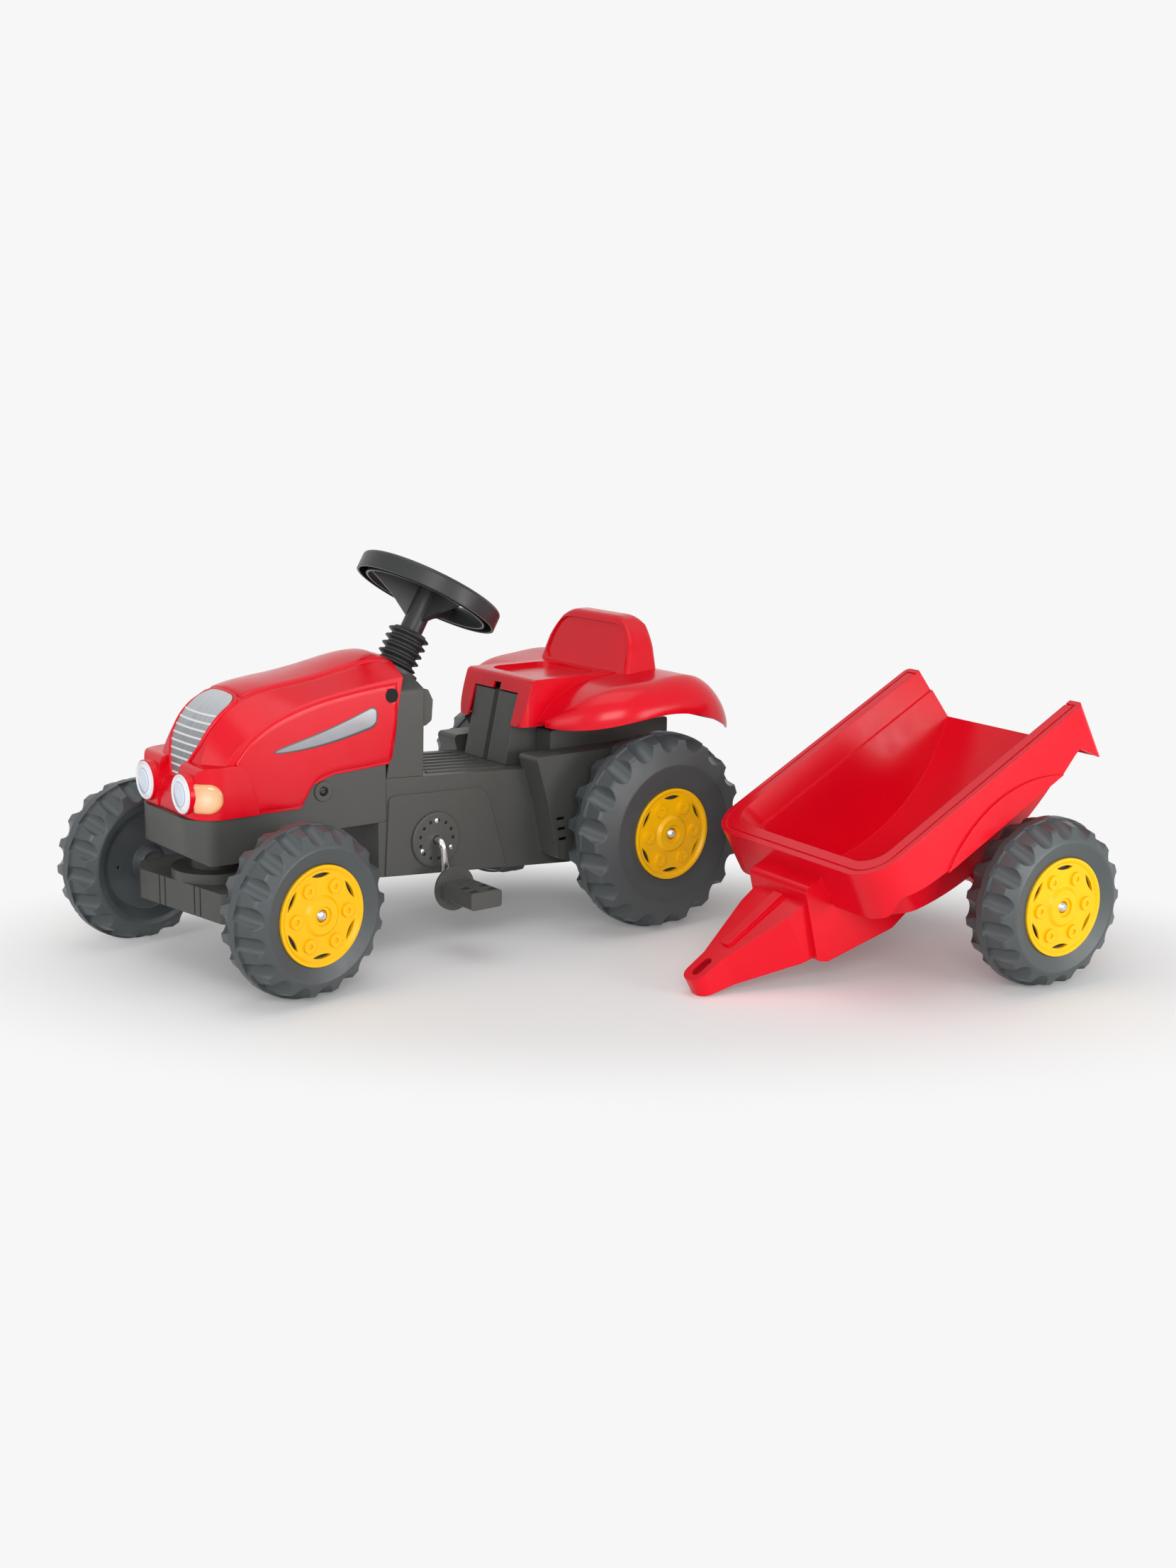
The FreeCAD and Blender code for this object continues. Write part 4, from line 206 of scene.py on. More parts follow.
def moulded_plastic(name, colour, roughness, specular, grain_scale, grain_depth, edge):
    """Injection-moulded plastic: slow colour drift, uneven gloss, a fine grain and soft edges."""
    look = Shading(name)
    drift = look.noise(drift_scale, 2.0)
    stops = [(noise_low, tint(colour, drift_dark)), (noise_high, tint(colour, drift_pale))]
    look.set(Base_Color=look.ramp(drift, stops))
    look.set(Roughness=look.spread(look.noise(gloss_scale), roughness - gloss_less, roughness + gloss_more))
    look.set(Specular_IOR_Level=specular)
    grain = look.noise(grain_scale, 2.0)
    look.set(Normal=look.bump(grain, grain_strength, grain_depth, look.soft_edges(edge)))
    return look.material


# Drawn steel: its lines and duller patches
wire_scale = 60.0
wire_detail = 4.0
wire_low = 0.35
wire_high = 0.65
wire_dark = 0.86
wire_bright = 1.06
wire_patch_scale = 120.0
wire_gloss_less = 0.06
wire_gloss_more = 0.1
wire_strength = 0.1
wire_depth = 0.0002
wire_edge = 0.0006


def steel(name, colour, roughness, stretch):
    """Drawn steel: fine lines along the wire, with a few duller patches."""
    look = Shading(name)
    mapping = look.add("ShaderNodeMapping", Vector=look.place)
    mapping.inputs["Scale"].default_value = stretch
    lines = look.noise(wire_scale, wire_detail, mapping.outputs["Vector"])
    look.set(Metallic=1.0)
    stops = [(wire_low, tint(colour, wire_dark)), (wire_high, tint(colour, wire_bright))]
    look.set(Base_Color=look.ramp(lines, stops))
    patches = look.noise(wire_patch_scale)
    look.set(Roughness=look.spread(patches, roughness - wire_gloss_less, roughness + wire_gloss_more))
    look.set(Normal=look.bump(lines, wire_strength, wire_depth, look.soft_edges(wire_edge)))
    return look.material


# Silver foil: its tones, brushed streaks and bright lines
foil_stretch = (1.0, 30.0, 1.0)
foil_scale = 9.0
foil_detail = 4.0
foil_streak = 0.1
foil_line_from = 0.17
foil_line_full = 0.09
foil_metal = 0.35
foil_gloss_scale = 70.0
foil_gloss = (0.3, 0.4)
foil_strength = 0.05
foil_depth = 0.0002
foil_soft = 0.0005
foil_stops = [
    (0.0, linear(118, 120, 123)),
    (0.55, linear(150, 153, 157)),
    (1.0, linear(205, 208, 211)),
]
foil_line = linear(232, 234, 236)


def silver_foil(name, low_z, high_z, line_low=0.0, line_step=0.0, line_top=0.0):
    """Printed silver foil that pales towards its top, brushed, with bright lines where it has any."""
    look = Shading(name)
    mapping = look.add("ShaderNodeMapping", Vector=look.place)
    mapping.inputs["Scale"].default_value = foil_stretch
    brushed = look.noise(foil_scale, foil_detail, mapping.outputs["Vector"])
    height = look.add("ShaderNodeSeparateXYZ", Vector=look.place).outputs["Z"]
    rise = look.between(height, low_z, high_z)
    streaks = look.spread(brushed, -foil_streak, foil_streak)
    tone = look.combine("ADD", rise, streaks)
    colour = look.ramp(tone, foil_stops)
    if line_step > 0.0:
        turns = look.combine("DIVIDE", look.combine("SUBTRACT", height, line_low), line_step)
        away = look.combine("PINGPONG", turns, 0.5)
        line = look.between(away, foil_line_from, foil_line_full)
        below = look.between(height, line_top + line_step / 2, line_top + line_step / 3)
        mix = look.add("ShaderNodeMix", Factor=look.combine("MULTIPLY", line, below))
        mix.data_type = "RGBA"
        look.put(mix.inputs[mix_first], colour)
        look.put(mix.inputs[mix_second], foil_line)
        colour = mix.outputs[mix_result]
    look.set(Base_Color=colour, Metallic=foil_metal, Specular_IOR_Level=0.5)
    look.set(Roughness=look.spread(look.noise(foil_gloss_scale), *foil_gloss))
    look.set(Normal=look.bump(brushed, foil_strength, foil_depth, look.soft_edges(foil_soft)))
    return look.material


# Lens: its ripple, gloss and clear coat
ripple_scale = 260.0
ripple_strength = 0.1
ripple_depth = 0.0005
lens_gloss_scale = 60.0
lens_gloss = (0.1, 0.18)
lens_edge = 0.001
coat_weight = 0.6
coat_roughness = 0.04


def lens(name, centre, spread, stops, reach):
    """A pressed lens whose colour runs in rings round its centre, under a clear coat: printed rings on the
    headlights, a painted glow on the indicators.
    """
    look = Shading(name)
    offset = look.add("ShaderNodeVectorMath", Vector=look.place)
    offset.operation = "SUBTRACT"
    offset.inputs[1].default_value = centre
    flat = look.add("ShaderNodeVectorMath")
    flat.operation = "MULTIPLY"
    flat.inputs[1].default_value = spread
    look.put(flat.inputs[0], offset.outputs["Vector"])
    length = look.add("ShaderNodeVectorMath")
    length.operation = "LENGTH"
    look.put(length.inputs[0], flat.outputs["Vector"])
    look.set(Base_Color=look.ramp(look.between(length.outputs["Value"], 0.0, reach), stops))
    ripple = look.noise(ripple_scale, 1.0)
    look.set(Roughness=look.spread(look.noise(lens_gloss_scale), *lens_gloss))
    look.set(Coat_Weight=coat_weight, Coat_Roughness=coat_roughness)
    look.set(Normal=look.bump(ripple, ripple_strength, ripple_depth, look.soft_edges(lens_edge)))
    return look.material


red = linear(226, 5, 32)
charcoal = linear(76, 77, 74)
tyre_grey = linear(70, 76, 78)
yellow = linear(250, 192, 0)
bare_steel = linear(222, 223, 226)
rim_black = linear(46, 47, 48)
rubber_black = linear(44, 44, 46)
screw_black = linear(40, 41, 43)
# Hood plugs: black plastic, painted darker still as painted shade of the recess they sit in
plug_black_painted_shade = linear(30, 30, 32)
foil_edge = linear(96, 98, 104)
ring_white = linear(238, 240, 243)

looks = {
    "red_plastic": moulded_plastic("red_plastic", red, 0.22, 0.3, 900.0, 0.00003, 0.001),
    "black_plastic": moulded_plastic("black_plastic", charcoal, 0.42, 0.4, 1400.0, 0.0003, 0.0014),
    "tyre_plastic": moulded_plastic("tyre_plastic", tyre_grey, 0.36, 0.5, 700.0, 0.0002, 0.0022),
    "yellow_plastic": moulded_plastic("yellow_plastic", yellow, 0.3, 0.3, 900.0, 0.0001, 0.001),
    "rim_plastic": moulded_plastic("rim_plastic", rim_black, 0.36, 0.4, 1400.0, 0.0003, 0.0014),
    "steel": steel("steel", bare_steel, 0.2, (1.0, 0.05, 1.0)),
    "bellows_rubber": moulded_plastic("bellows_rubber", rubber_black, 0.45, 0.5, 1200.0, 0.0002, 0.0008),
    "dark_screw": moulded_plastic("dark_screw", screw_black, 0.35, 0.5, 800.0, 0.0001, 0.0005),
    # Hood plugs, darker than the black plastic: painted shade of their recess
    "plug_plastic_painted_shade": moulded_plastic("plug_plastic_painted_shade", plug_black_painted_shade, 0.5, 0.15, 1400.0, 0.0002, 0.0008),
    "dark_foil": moulded_plastic("dark_foil", foil_edge, 0.35, 0.5, 800.0, 0.00005, 0.0003),
    "white_ring": moulded_plastic("white_ring", ring_white, 0.2, 0.5, 800.0, 0.00005, 0.0005),
}

lamp_stops = [
    (0.0, linear(232, 240, 250)),
    (0.5, linear(214, 227, 244)),
    (0.66, linear(236, 242, 250)),
    (0.71, linear(150, 170, 208)),
    (0.76, linear(246, 248, 252)),
    (1.0, linear(250, 251, 253)),
]
# Indicator colours from a pale heart out to a deeper amber rim: the pale heart is painted glow, not light
# from a lamp
amber_painted_glow_stops = [
    (0.0, linear(255, 222, 184)),
    (0.5, linear(252, 190, 140)),
    (1.0, linear(240, 150, 96)),
]


# Where a lamp's rings and an indicator's painted glow lie, and the bright lines of the grille
lamp_spread = (0.0, 1.0, 1.0)
shade_spread = (1.0, 0.4, 1.0)
painted_glow_heart = 0.7
painted_glow_reach = 0.62
grille_line_low = 0.2591
grille_line_step = 0.00877
grille_line_top = grille_line_low + grille_line_step * 7


def centre_of(node):
    low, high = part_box(node)
    return (low + high) / 2


def fitting_looks():
    """Looks that follow the place of their own node: lamps, indicators and the grille."""
    own = {"steering_wheel": looks["rim_plastic"], "steering_cap": looks["rim_plastic"]}
    for _, word in sides:
        lamp = "headlight_" + word
        low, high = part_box(lamp)
        own[lamp] = lens(lamp, centre_of(lamp), lamp_spread, lamp_stops, (high.z - low.z) / 2)
        shade = "indicator_" + word
        low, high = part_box(shade)
        # The indicator's painted glow is centred towards its front end
        heart = centre_of(shade)
        heart.x = low.x + (high.x - low.x) * painted_glow_heart
        own[shade] = lens(shade, heart, shade_spread, amber_painted_glow_stops, (high.z - low.z) * painted_glow_reach)
        # The hood plugs take the plug look, with its painted shade
        own["hood_plug_" + word] = looks["plug_plastic_painted_shade"]
    low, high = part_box("grille_panel")
    own["grille_panel"] = silver_foil(
        "grille_foil", low.z, high.z, grille_line_low, grille_line_step, grille_line_top
    )
    return own


def dress_nodes():
    """Every node takes the look of its slot in the record, or its own."""
    slots = {row["node"]: row["material_slot"] for row in frame["record"]["subparts"]}
    own = fitting_looks()
    for name, node in nodes.items():
        node.data.materials.clear()
        node.data.materials.append(own[name] if name in own else looks[slots[name]])


# Pieces made here

def piece(name, mesh_data, look, body, smooth=True):
    """Puts a finished bmesh into the scene as a piece that rides on a body."""
    mesh = bpy.data.meshes.new(name)
    bmesh.ops.recalc_face_normals(mesh_data, faces=mesh_data.faces)
    mesh_data.to_mesh(mesh)
    mesh_data.free()
    mesh.validate()
    for face in mesh.polygons:
        face.use_smooth = smooth
    thing = bpy.data.objects.new(name, mesh)
    scene.collection.objects.link(thing)
    mesh.materials.append(look)
    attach(thing, body)
    return thing


def revolved(profile, place, axis, steps):
    """A closed ring of faces from a closed profile of (radius, height) points round an axis."""
    form = bmesh.new()
    turn = axis.to_track_quat("Z", "Y").to_matrix()
    rings = []
    for step in range(steps):
        angle = math.tau * step / steps
        across = Vector((math.cos(angle), math.sin(angle), 0.0))
        ring = []
        for radius, height in profile:
            point = across * radius + Vector((0.0, 0.0, height))
            ring.append(form.verts.new(place + turn @ point))
        rings.append(ring)
    count = len(profile)
    for step in range(steps):
        here, there = rings[step], rings[(step + 1) % steps]
        for index in range(count):
            follow = (index + 1) % count
            form.faces.new((here[index], here[follow], there[follow], there[index]))
    bmesh.ops.remove_doubles(form, verts=form.verts, dist=weld_gap)
    return form


bellows_top = -0.058
bellows_length = 0.052
bellows_ribs = 5
bellows_rib_radius = 0.028
bellows_root_radius = 0.0215
bellows_bore_step = 0.0022
bellows_rings = 64
bellows_rib_steps = 10
bellows_crest = 1.3


def bellows():
    """Rounded ribs and a bore that follows them."""
    steps = bellows_ribs * bellows_rib_steps
    outer = []
    for step in range(steps + 1):
        share = step / steps
        wave = 0.5 - 0.5 * math.cos(math.tau * bellows_ribs * share)
        rise = wave ** bellows_crest
        radius = bellows_root_radius + (bellows_rib_radius - bellows_root_radius) * rise
        outer.append((radius, bellows_top - bellows_length * (1.0 - share)))
    inner = [(radius - bellows_bore_step, height) for radius, height in reversed(outer)]
    form = revolved(outer + inner, column_top, column_axis, bellows_rings)
    thing = piece("bellows_ribs", form, looks["bellows_rubber"], "chassis")
    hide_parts("bellows")


def skin_of(node):
    """A search tree of a node's surface."""
    mesh = nodes[node].data
    return BVHTree.FromPolygons([v.co for v in mesh.vertices], [p.vertices for p in mesh.polygons])


def curve_at(points, x):
    """Height of a smooth curve through points (x, z) in rising order of x."""
    last = len(points) - 1
    index = max(i for i in range(last) if i == 0 or points[i][0] <= x)
    slopes = []
    for i in (index, index + 1):
        before, after = points[max(i - 1, 0)], points[min(i + 1, last)]
        slopes.append((after[1] - before[1]) / (after[0] - before[0]))
    (x0, z0), (x1, z1) = points[index], points[index + 1]
    span = x1 - x0
    t = (x - x0) / span
    ease = t * t * (3.0 - 2.0 * t)
    swing = t * (1.0 - t) * ((1.0 - t) * slopes[0] - t * slopes[1]) * span
    return z0 + (z1 - z0) * ease + swing


def grid_form(rows):
    """A sheet of faces through rows of points."""
    form = bmesh.new()
    verts = [[form.verts.new(point) for point in row] for row in rows]
    for low, high in zip(verts, verts[1:]):
        for i in range(len(low) - 1):
            form.faces.new((low[i], low[i + 1], high[i + 1], high[i]))
    bmesh.ops.remove_doubles(form, verts=form.verts, dist=sheet_weld_gap)
    return form


def thickened(thing, thickness):
    """Gives a sheet its thickness, inwards from its face."""
    solid = thing.modifiers.new("thickness", "SOLIDIFY")
    solid.thickness = thickness
    solid.offset = -1.0


def face_out(thing, way):
    """Turns a sheet's faces towards the given way."""
    mesh = thing.data
    total = sum((face.normal * face.area for face in mesh.polygons), Vector())
    if total.dot(way) < 0.0:
        mesh.flip_normals()


# Where rays towards the hood start, and the thickness of the panels laid on it
ray_side = 0.3
ray_above = 0.6
ray_far = 0.9
panel_thick = 0.0012

# Raised cheek on each side of the hood
cheek_top = [
    (0.346, 0.3475),
    (0.386, 0.3445),
    (0.440, 0.3375),
    (0.483, 0.3285),
    (0.520, 0.3155),
    (0.548, 0.2990),
    (0.564, 0.2810),
    (0.572, 0.2705),
]
cheek_low = [
    (0.346, 0.2500),
    (0.400, 0.2465),
    (0.440, 0.2440),
    (0.466, 0.2350),
    (0.482, 0.2130),
    (0.490, 0.2085),
    (0.536, 0.2085),
    (0.548, 0.2095),
    (0.553, 0.2320),
    (0.558, 0.2480),
    (0.564, 0.2575),
    (0.572, 0.2640),
]
cheek_rise = 0.0023
cheek_sink = 0.0004
cheek_round = 0.004
cheek_edge_steps = (0.0, 0.0005, 0.0012, 0.0022, 0.004)
cheek_columns = 84
cheek_rows = 20

# Where the hood's own side lies, and the height just over the lamp pods
side_low = 0.05
side_high = 0.0855
side_clear = 0.2705
side_pod_rear = 0.54


def cheek_lift(x, z):
    """How far the cheek stands off the hood at a place on its side."""
    gaps = [
        curve_at(cheek_top, x) - z,
        z - curve_at(cheek_low, x),
        x - cheek_top[0][0],
    ]
    share = min(1.0, max(0.0, min(gaps)) / cheek_round)
    return (cheek_rise + cheek_sink) * math.sqrt(1.0 - (1.0 - share) ** 2) - cheek_sink


def on_hood_side(skin, x, z, side, lift):
    """The point over (x, z) on the hood's side, lifted off it along its own slope."""
    inward = Vector((0.0, -side, 0.0))
    place, normal, _, _ = skin.ray_cast(Vector((x, side * ray_side, z)), inward)
    if x > side_pod_rear and (place is None or not side_low < place.y * side < side_high):
        place, normal, _, _ = skin.ray_cast(Vector((x, side * ray_side, side_clear)), inward)
        place.z = z
    if place is None:
        place, normal, _, _ = skin.find_nearest(Vector((x, side * side_high, z)))
    if normal.y * side < 0.0:
        normal = -normal
    return place + normal * lift


def eased_steps(length, edges, count):
    """Places from 0 to length, close together near both ends."""
    if length <= 2.0 * edges[-1]:
        last = count + 2 * len(edges) - 2
        return [length * i / last for i in range(last + 1)]
    inner = [edges[-1] + (length - 2.0 * edges[-1]) * i / count for i in range(1, count)]
    return list(edges) + inner + [length - step for step in reversed(edges)]


def hood_cheeks(skin):
    """The raised panel on each side of the hood."""
    rear, front = cheek_top[0][0], cheek_top[-1][0]
    for side, word in sides:
        rows = []
        for x_step in eased_steps(front - rear, cheek_edge_steps, cheek_columns):
            x = rear + x_step
            low, high = curve_at(cheek_low, x), curve_at(cheek_top, x)
            row = []
            for z_step in eased_steps(high - low, cheek_edge_steps, cheek_rows):
                z = low + z_step
                row.append(on_hood_side(skin, x, z, side, cheek_lift(x, z)))
            rows.append(row)
        form = grid_form(rows)
        thing = piece("hood_cheek_" + word, form, looks["red_plastic"], "chassis")
        face_out(thing, Vector((0.0, side, 0.0)))
        thickened(thing, panel_thick)


# Flat spine along the top of the hood
spine_rear = 0.3425
spine_front = 0.5415
spine_half = 0.043
spine_rise = 0.003
spine_bevel = 0.004
spine_edge_steps = (0.0, 0.0006, 0.0014, 0.0025, 0.004)
spine_columns = 50
spine_rows = 16


def hood_spine(skin):
    """The flat raised band on the hood's top."""
    rows = []
    for x_step in eased_steps(spine_front - spine_rear, spine_edge_steps, spine_columns):
        row = []
        for y_step in eased_steps(2.0 * spine_half, spine_edge_steps, spine_rows):
            gap = min(x_step, spine_front - spine_rear - x_step, y_step, 2.0 * spine_half - y_step)
            share = min(1.0, gap / spine_bevel)
            lift = (spine_rise + cheek_sink) * share * (2.0 - share) - cheek_sink
            start = Vector((spine_rear + x_step, y_step - spine_half, ray_above))
            place, normal, _, _ = skin.ray_cast(start, Vector((0.0, 0.0, -1.0)))
            row.append(place + normal * (lift if normal.z > 0.0 else -lift))
        rows.append(row)
    thing = piece("hood_spine", grid_form(rows), looks["red_plastic"], "chassis")
    face_out(thing, Vector((0.0, 0.0, 1.0)))
    thickened(thing, panel_thick)


# Indicators, bent round the outer corner of each lamp pod
shade_centre = (0.5879, 0.053)
shade_radius = 0.0344
shade_from = math.radians(28.0)
shade_to = math.radians(84.0)
shade_middle = 0.2311
shade_half = 0.018
shade_end_round = 0.017
shade_rise = 0.0042
shade_soft = 0.006
shade_columns = 30
shade_rows = 18
shade_thick = 0.001


def indicators():
    """Domed lenses in place of the plain indicator solids."""
    length = shade_radius * (shade_to - shade_from)
    for side, word in sides:
        rows = []
        for i in range(shade_columns + 1):
            along = length * math.sin(math.pi / 2 * i / shade_columns)
            angle = shade_from + along / shade_radius
            past = max(0.0, along - length + shade_end_round) / shade_end_round
            half = shade_half * math.sqrt(max(0.0, 1.0 - past * past))
            row = []
            for j in range(shade_rows + 1):
                across = half * math.sin(math.pi * (j / shade_rows - 0.5))
                gap = min(1.0, min(half - abs(across), length - along) / shade_soft)
                reach = shade_radius + shade_rise * math.sqrt(1.0 - (1.0 - gap) ** 2)
                x = shade_centre[0] + reach * math.cos(angle)
                y = shade_centre[1] + reach * math.sin(angle)
                row.append(Vector((x, side * y, shade_middle + across)))
            rows.append(row)
        node = "indicator_" + word
        look = nodes[node].data.materials[0]
        thing = piece("indicator_lens_" + word, grid_form(rows), look, "chassis")
        face_out(thing, Vector((0.0, side, 0.0)))
        thickened(thing, shade_thick)
        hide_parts(node)


# Silver blade on each cheek
blade_tip = (0.521, 0.2785)
blade_end = (0.377, 0.3095)
blade_sag = 0.004
blade_half = 0.0125
blade_swell = 0.62
blade_round = 0.07
blade_edge = 0.0012
blade_lift = 0.00025
blade_columns = 60
blade_rows = 10
blade_foil_low = 0.262
blade_foil_high = 0.325


def blade_rows_at(skin, side, grow, lift):
    """Rows of points across a blade that is pointed in front and round behind."""
    rows = []
    for i in range(blade_columns + 1):
        share = i / blade_columns
        x = blade_tip[0] + (blade_end[0] - blade_tip[0]) * share
        middle = blade_tip[1] + (blade_end[1] - blade_tip[1]) * share
        middle -= blade_sag * math.sin(math.pi * share)
        half = blade_half * share ** blade_swell
        past = max(0.0, (share - 1.0 + blade_round) / blade_round)
        half = (half + grow) * math.sqrt(max(0.0, 1.0 - past * past))
        x += grow * (1.0 - 2.0 * share)
        row = []
        for j in range(blade_rows + 1):
            z = middle + half * (2.0 * j / blade_rows - 1.0)
            row.append(on_hood_side(skin, x, z, side, cheek_lift(x, z) + lift))
        rows.append(row)
    return rows


def hood_blades(skin):
    """A silver blade on each cheek, over a dark one that shows as its edge."""
    foil = silver_foil("blade_foil", blade_foil_low, blade_foil_high)
    for side, word in sides:
        edge_form = grid_form(blade_rows_at(skin, side, blade_edge, blade_lift))
        edge = piece("blade_edge_" + word, edge_form, looks["dark_foil"], "chassis")
        form = grid_form(blade_rows_at(skin, side, 0.0, blade_lift * 2.0))
        face = piece("blade_" + word, form, foil, "chassis")
        for thing in (edge, face):
            face_out(thing, Vector((0.0, side, 0.0)))
            thickened(thing, blade_lift)


# Rings, rivets and screws
lamp_ring_radius = 0.0221
lamp_ring_thick = 0.0016
lamp_ring_depth = 0.0022
lamp_ring_section = 16
lamp_ring_steps = 72
rivet_radius = 0.0034
rivet_height = 0.0014
rivet_circle = 0.025
rivet_count = 3
rivet_start = 0.25
rivet_steps = 32
screw_radius = 0.0052
screw_height = 0.0016
screw_dimple = 0.0012
screw_depth = 0.003
screw_steps = 40
boss_place = (0.453, 0.222)

# Crown of a round head in shares of its radius and height, and the radius of its dimple
button_crown = [(1.0, 0.0), (0.92, 0.45), (0.7, 0.82), (0.42, 1.0), (0.36, 1.0)]
dimple_share = 0.22


def ring_profile(radius, thick, steps):
    """Round section of a ring."""
    points = []
    for i in range(steps):
        angle = math.tau * i / steps
        points.append((radius + thick * math.cos(angle), thick * math.sin(angle)))
    return points


def button_profile(radius, height, dimple):
    """Half section of a low round head with a dimple at its middle."""
    foot = [(0.0, -height), (radius, -height)]
    crown = [(radius * wide, height * high) for wide, high in button_crown]
    middle = [(radius * dimple_share, height - dimple), (0.0, height - dimple)]
    return foot + crown + middle


def lamp_rings():
    """A white ring round each headlight."""
    section = ring_profile(lamp_ring_radius, lamp_ring_thick, lamp_ring_section)
    for _, word in sides:
        low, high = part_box("headlight_" + word)
        place = (low + high) / 2
        place.x = low.x + lamp_ring_depth
        form = revolved(section, place, Vector((1.0, 0.0, 0.0)), lamp_ring_steps)
        piece("lamp_ring_" + word, form, looks["white_ring"], "chassis")


def crank_rivets():
    """Rivets in a circle on each crank cover."""
    section = button_profile(rivet_radius, rivet_height, 0.0)
    for side, word in sides:
        low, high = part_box("crank_cover_" + word)
        middle = (low + high) / 2
        face = high.y if side > 0.0 else low.y
        for i in range(rivet_count):
            angle = math.tau * (rivet_start + i / rivet_count)
            place = Vector((
                middle.x + rivet_circle * math.cos(angle),
                face,
                middle.z + rivet_circle * math.sin(angle),
            ))
            form = revolved(section, place, Vector((0.0, side, 0.0)), rivet_steps)
            piece("crank_rivet_%s_%d" % (word, i + 1), form, looks["steel"], "chassis")


def boss_screws():
    """A dark screw in each side boss of the front frame."""
    section = button_profile(screw_radius, screw_height, screw_dimple)
    low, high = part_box("front_frame")
    for side, word in sides:
        face = high.y if side > 0.0 else low.y
        place = Vector((boss_place[0], face - side * screw_depth, boss_place[1]))
        form = revolved(section, place, Vector((0.0, side, 0.0)), screw_steps)
        piece("boss_screw_" + word, form, looks["dark_screw"], "chassis")


# Red lip round the grille
lip_radius = 0.0026
lip_steps = 6
lip_section = 3
lip_order = 3
lip_smooth = 8
nose_edge = 0.0255
pod_top = 0.267
lip_half_outline = [
    (0.0000, 0.2458),
    (0.0095, 0.2458),
    (0.0258, 0.2670),
    (0.0380, 0.2872),
    (0.0426, 0.3125),
    (0.0426, 0.3270),
]
lip_top_half = [(0.5475, 0.0405), (0.5435, 0.030), (0.5435, 0.018), (0.5435, 0.006)]


def bead(name, route, radius):
    """A round red bead along a closed route on the hood."""
    curve = bpy.data.curves.new(name, "CURVE")
    curve.dimensions = "3D"
    curve.bevel_depth = radius
    curve.bevel_resolution = lip_section
    spline = curve.splines.new("NURBS")
    spline.points.add(len(route) - 1)
    for point, place in zip(spline.points, route):
        point.co = (*place, 1.0)
    spline.use_cyclic_u = True
    spline.order_u = lip_order
    spline.resolution_u = lip_smooth
    thing = bpy.data.objects.new(name, curve)
    scene.collection.objects.link(thing)
    curve.materials.append(looks["red_plastic"])
    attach(thing, "chassis")


def dense(points, steps):
    """The points with evenly spaced ones between them."""
    rows = []
    for (y0, z0), (y1, z1) in zip(points, points[1:]):
        for i in range(steps):
            share = i / steps
            rows.append((y0 + (y1 - y0) * share, z0 + (z1 - z0) * share))
    return rows + [points[-1]]


def grille_lip(skin):
    """A round bead on the hood along the edge of the grille."""
    half = []
    for y, z in dense(lip_half_outline, lip_steps):
        reach = min(y, nose_edge) if z < pod_top else y
        place = skin.ray_cast(Vector((ray_far, reach, z)), Vector((-1.0, 0.0, 0.0)))[0]
        half.append(Vector((place.x, y, z)))
    for x, y in dense(lip_top_half, lip_steps):
        half.append(skin.ray_cast(Vector((x, y, ray_far)), Vector((0.0, 0.0, -1.0)))[0])
    other = [Vector((p.x, -p.y, p.z)) for p in reversed(half[1:])]
    bead("grille_lip", half + other, lip_radius)


# Inner wall of each lamp pod, beside the nose
pod_wall_face = 0.0259
pod_wall_thick = 0.0015
pod_wall_outline = [
    (0.6000, 0.2380),
    (0.6190, 0.2380),
    (0.6187, 0.2520),
    (0.6176, 0.2580),
    (0.6150, 0.2628),
    (0.6100, 0.2654),
    (0.6000, 0.2660),
]


def pod_walls():
    """A thin plate that closes each pod beside the nose."""
    for side, word in sides:
        form = bmesh.new()
        ring = [form.verts.new((x, side * pod_wall_face, z)) for x, z in pod_wall_outline]
        form.faces.new(ring)
        thing = piece("pod_wall_" + word, form, looks["red_plastic"], "chassis", False)
        face_out(thing, Vector((0.0, -side, 0.0)))
        thickened(thing, pod_wall_thick)


# Backrest, rounder and deeper than its solid
back_foot = 0.333
back_top = 0.404
back_front = 0.02
back_half = (0.0995, 0.084)
back_round = 0.042
back_deeper = 0.01
back_step = 0.005
back_passes = 4

# Its front and rear face at the foot, and how far each leans for its height
back_front_foot = -0.0096
back_front_lean = 0.29
back_rear_foot = -0.0605
back_rear_lean = 0.15

# Edges with a wider angle than this stay sharp
sharp_angle = math.radians(28.0)


def on_back(place):
    """Whether a point belongs to the backrest."""
    return place.z > back_foot and place.x < back_front


def rounded_back(place):
    """A point of the backrest, moved out at the rear and in at the top corners."""
    rise = (place.z - back_foot) / (back_top - back_foot)
    front = back_front_foot - back_front_lean * (place.z - back_foot)
    rear = back_rear_foot + back_rear_lean * (place.z - back_foot)
    depth = min(1.0, max(0.0, (front - place.x) / (front - rear)))
    half = back_half[0] + (back_half[1] - back_half[0]) * rise
    across = (abs(place.y) - half + back_round) / back_round
    up = (place.z - back_top + back_round) / back_round
    y, z = abs(place.y), place.z
    if across > 0.0 and up > 0.0:
        across, up = min(across, 1.0), min(up, 1.0)
        y += back_round * across * (math.sqrt(1.0 - up * up / 2.0) - 1.0)
        z += back_round * up * (math.sqrt(1.0 - across * across / 2.0) - 1.0)
    return Vector((place.x - back_deeper * depth * rise, math.copysign(y, place.y), z))


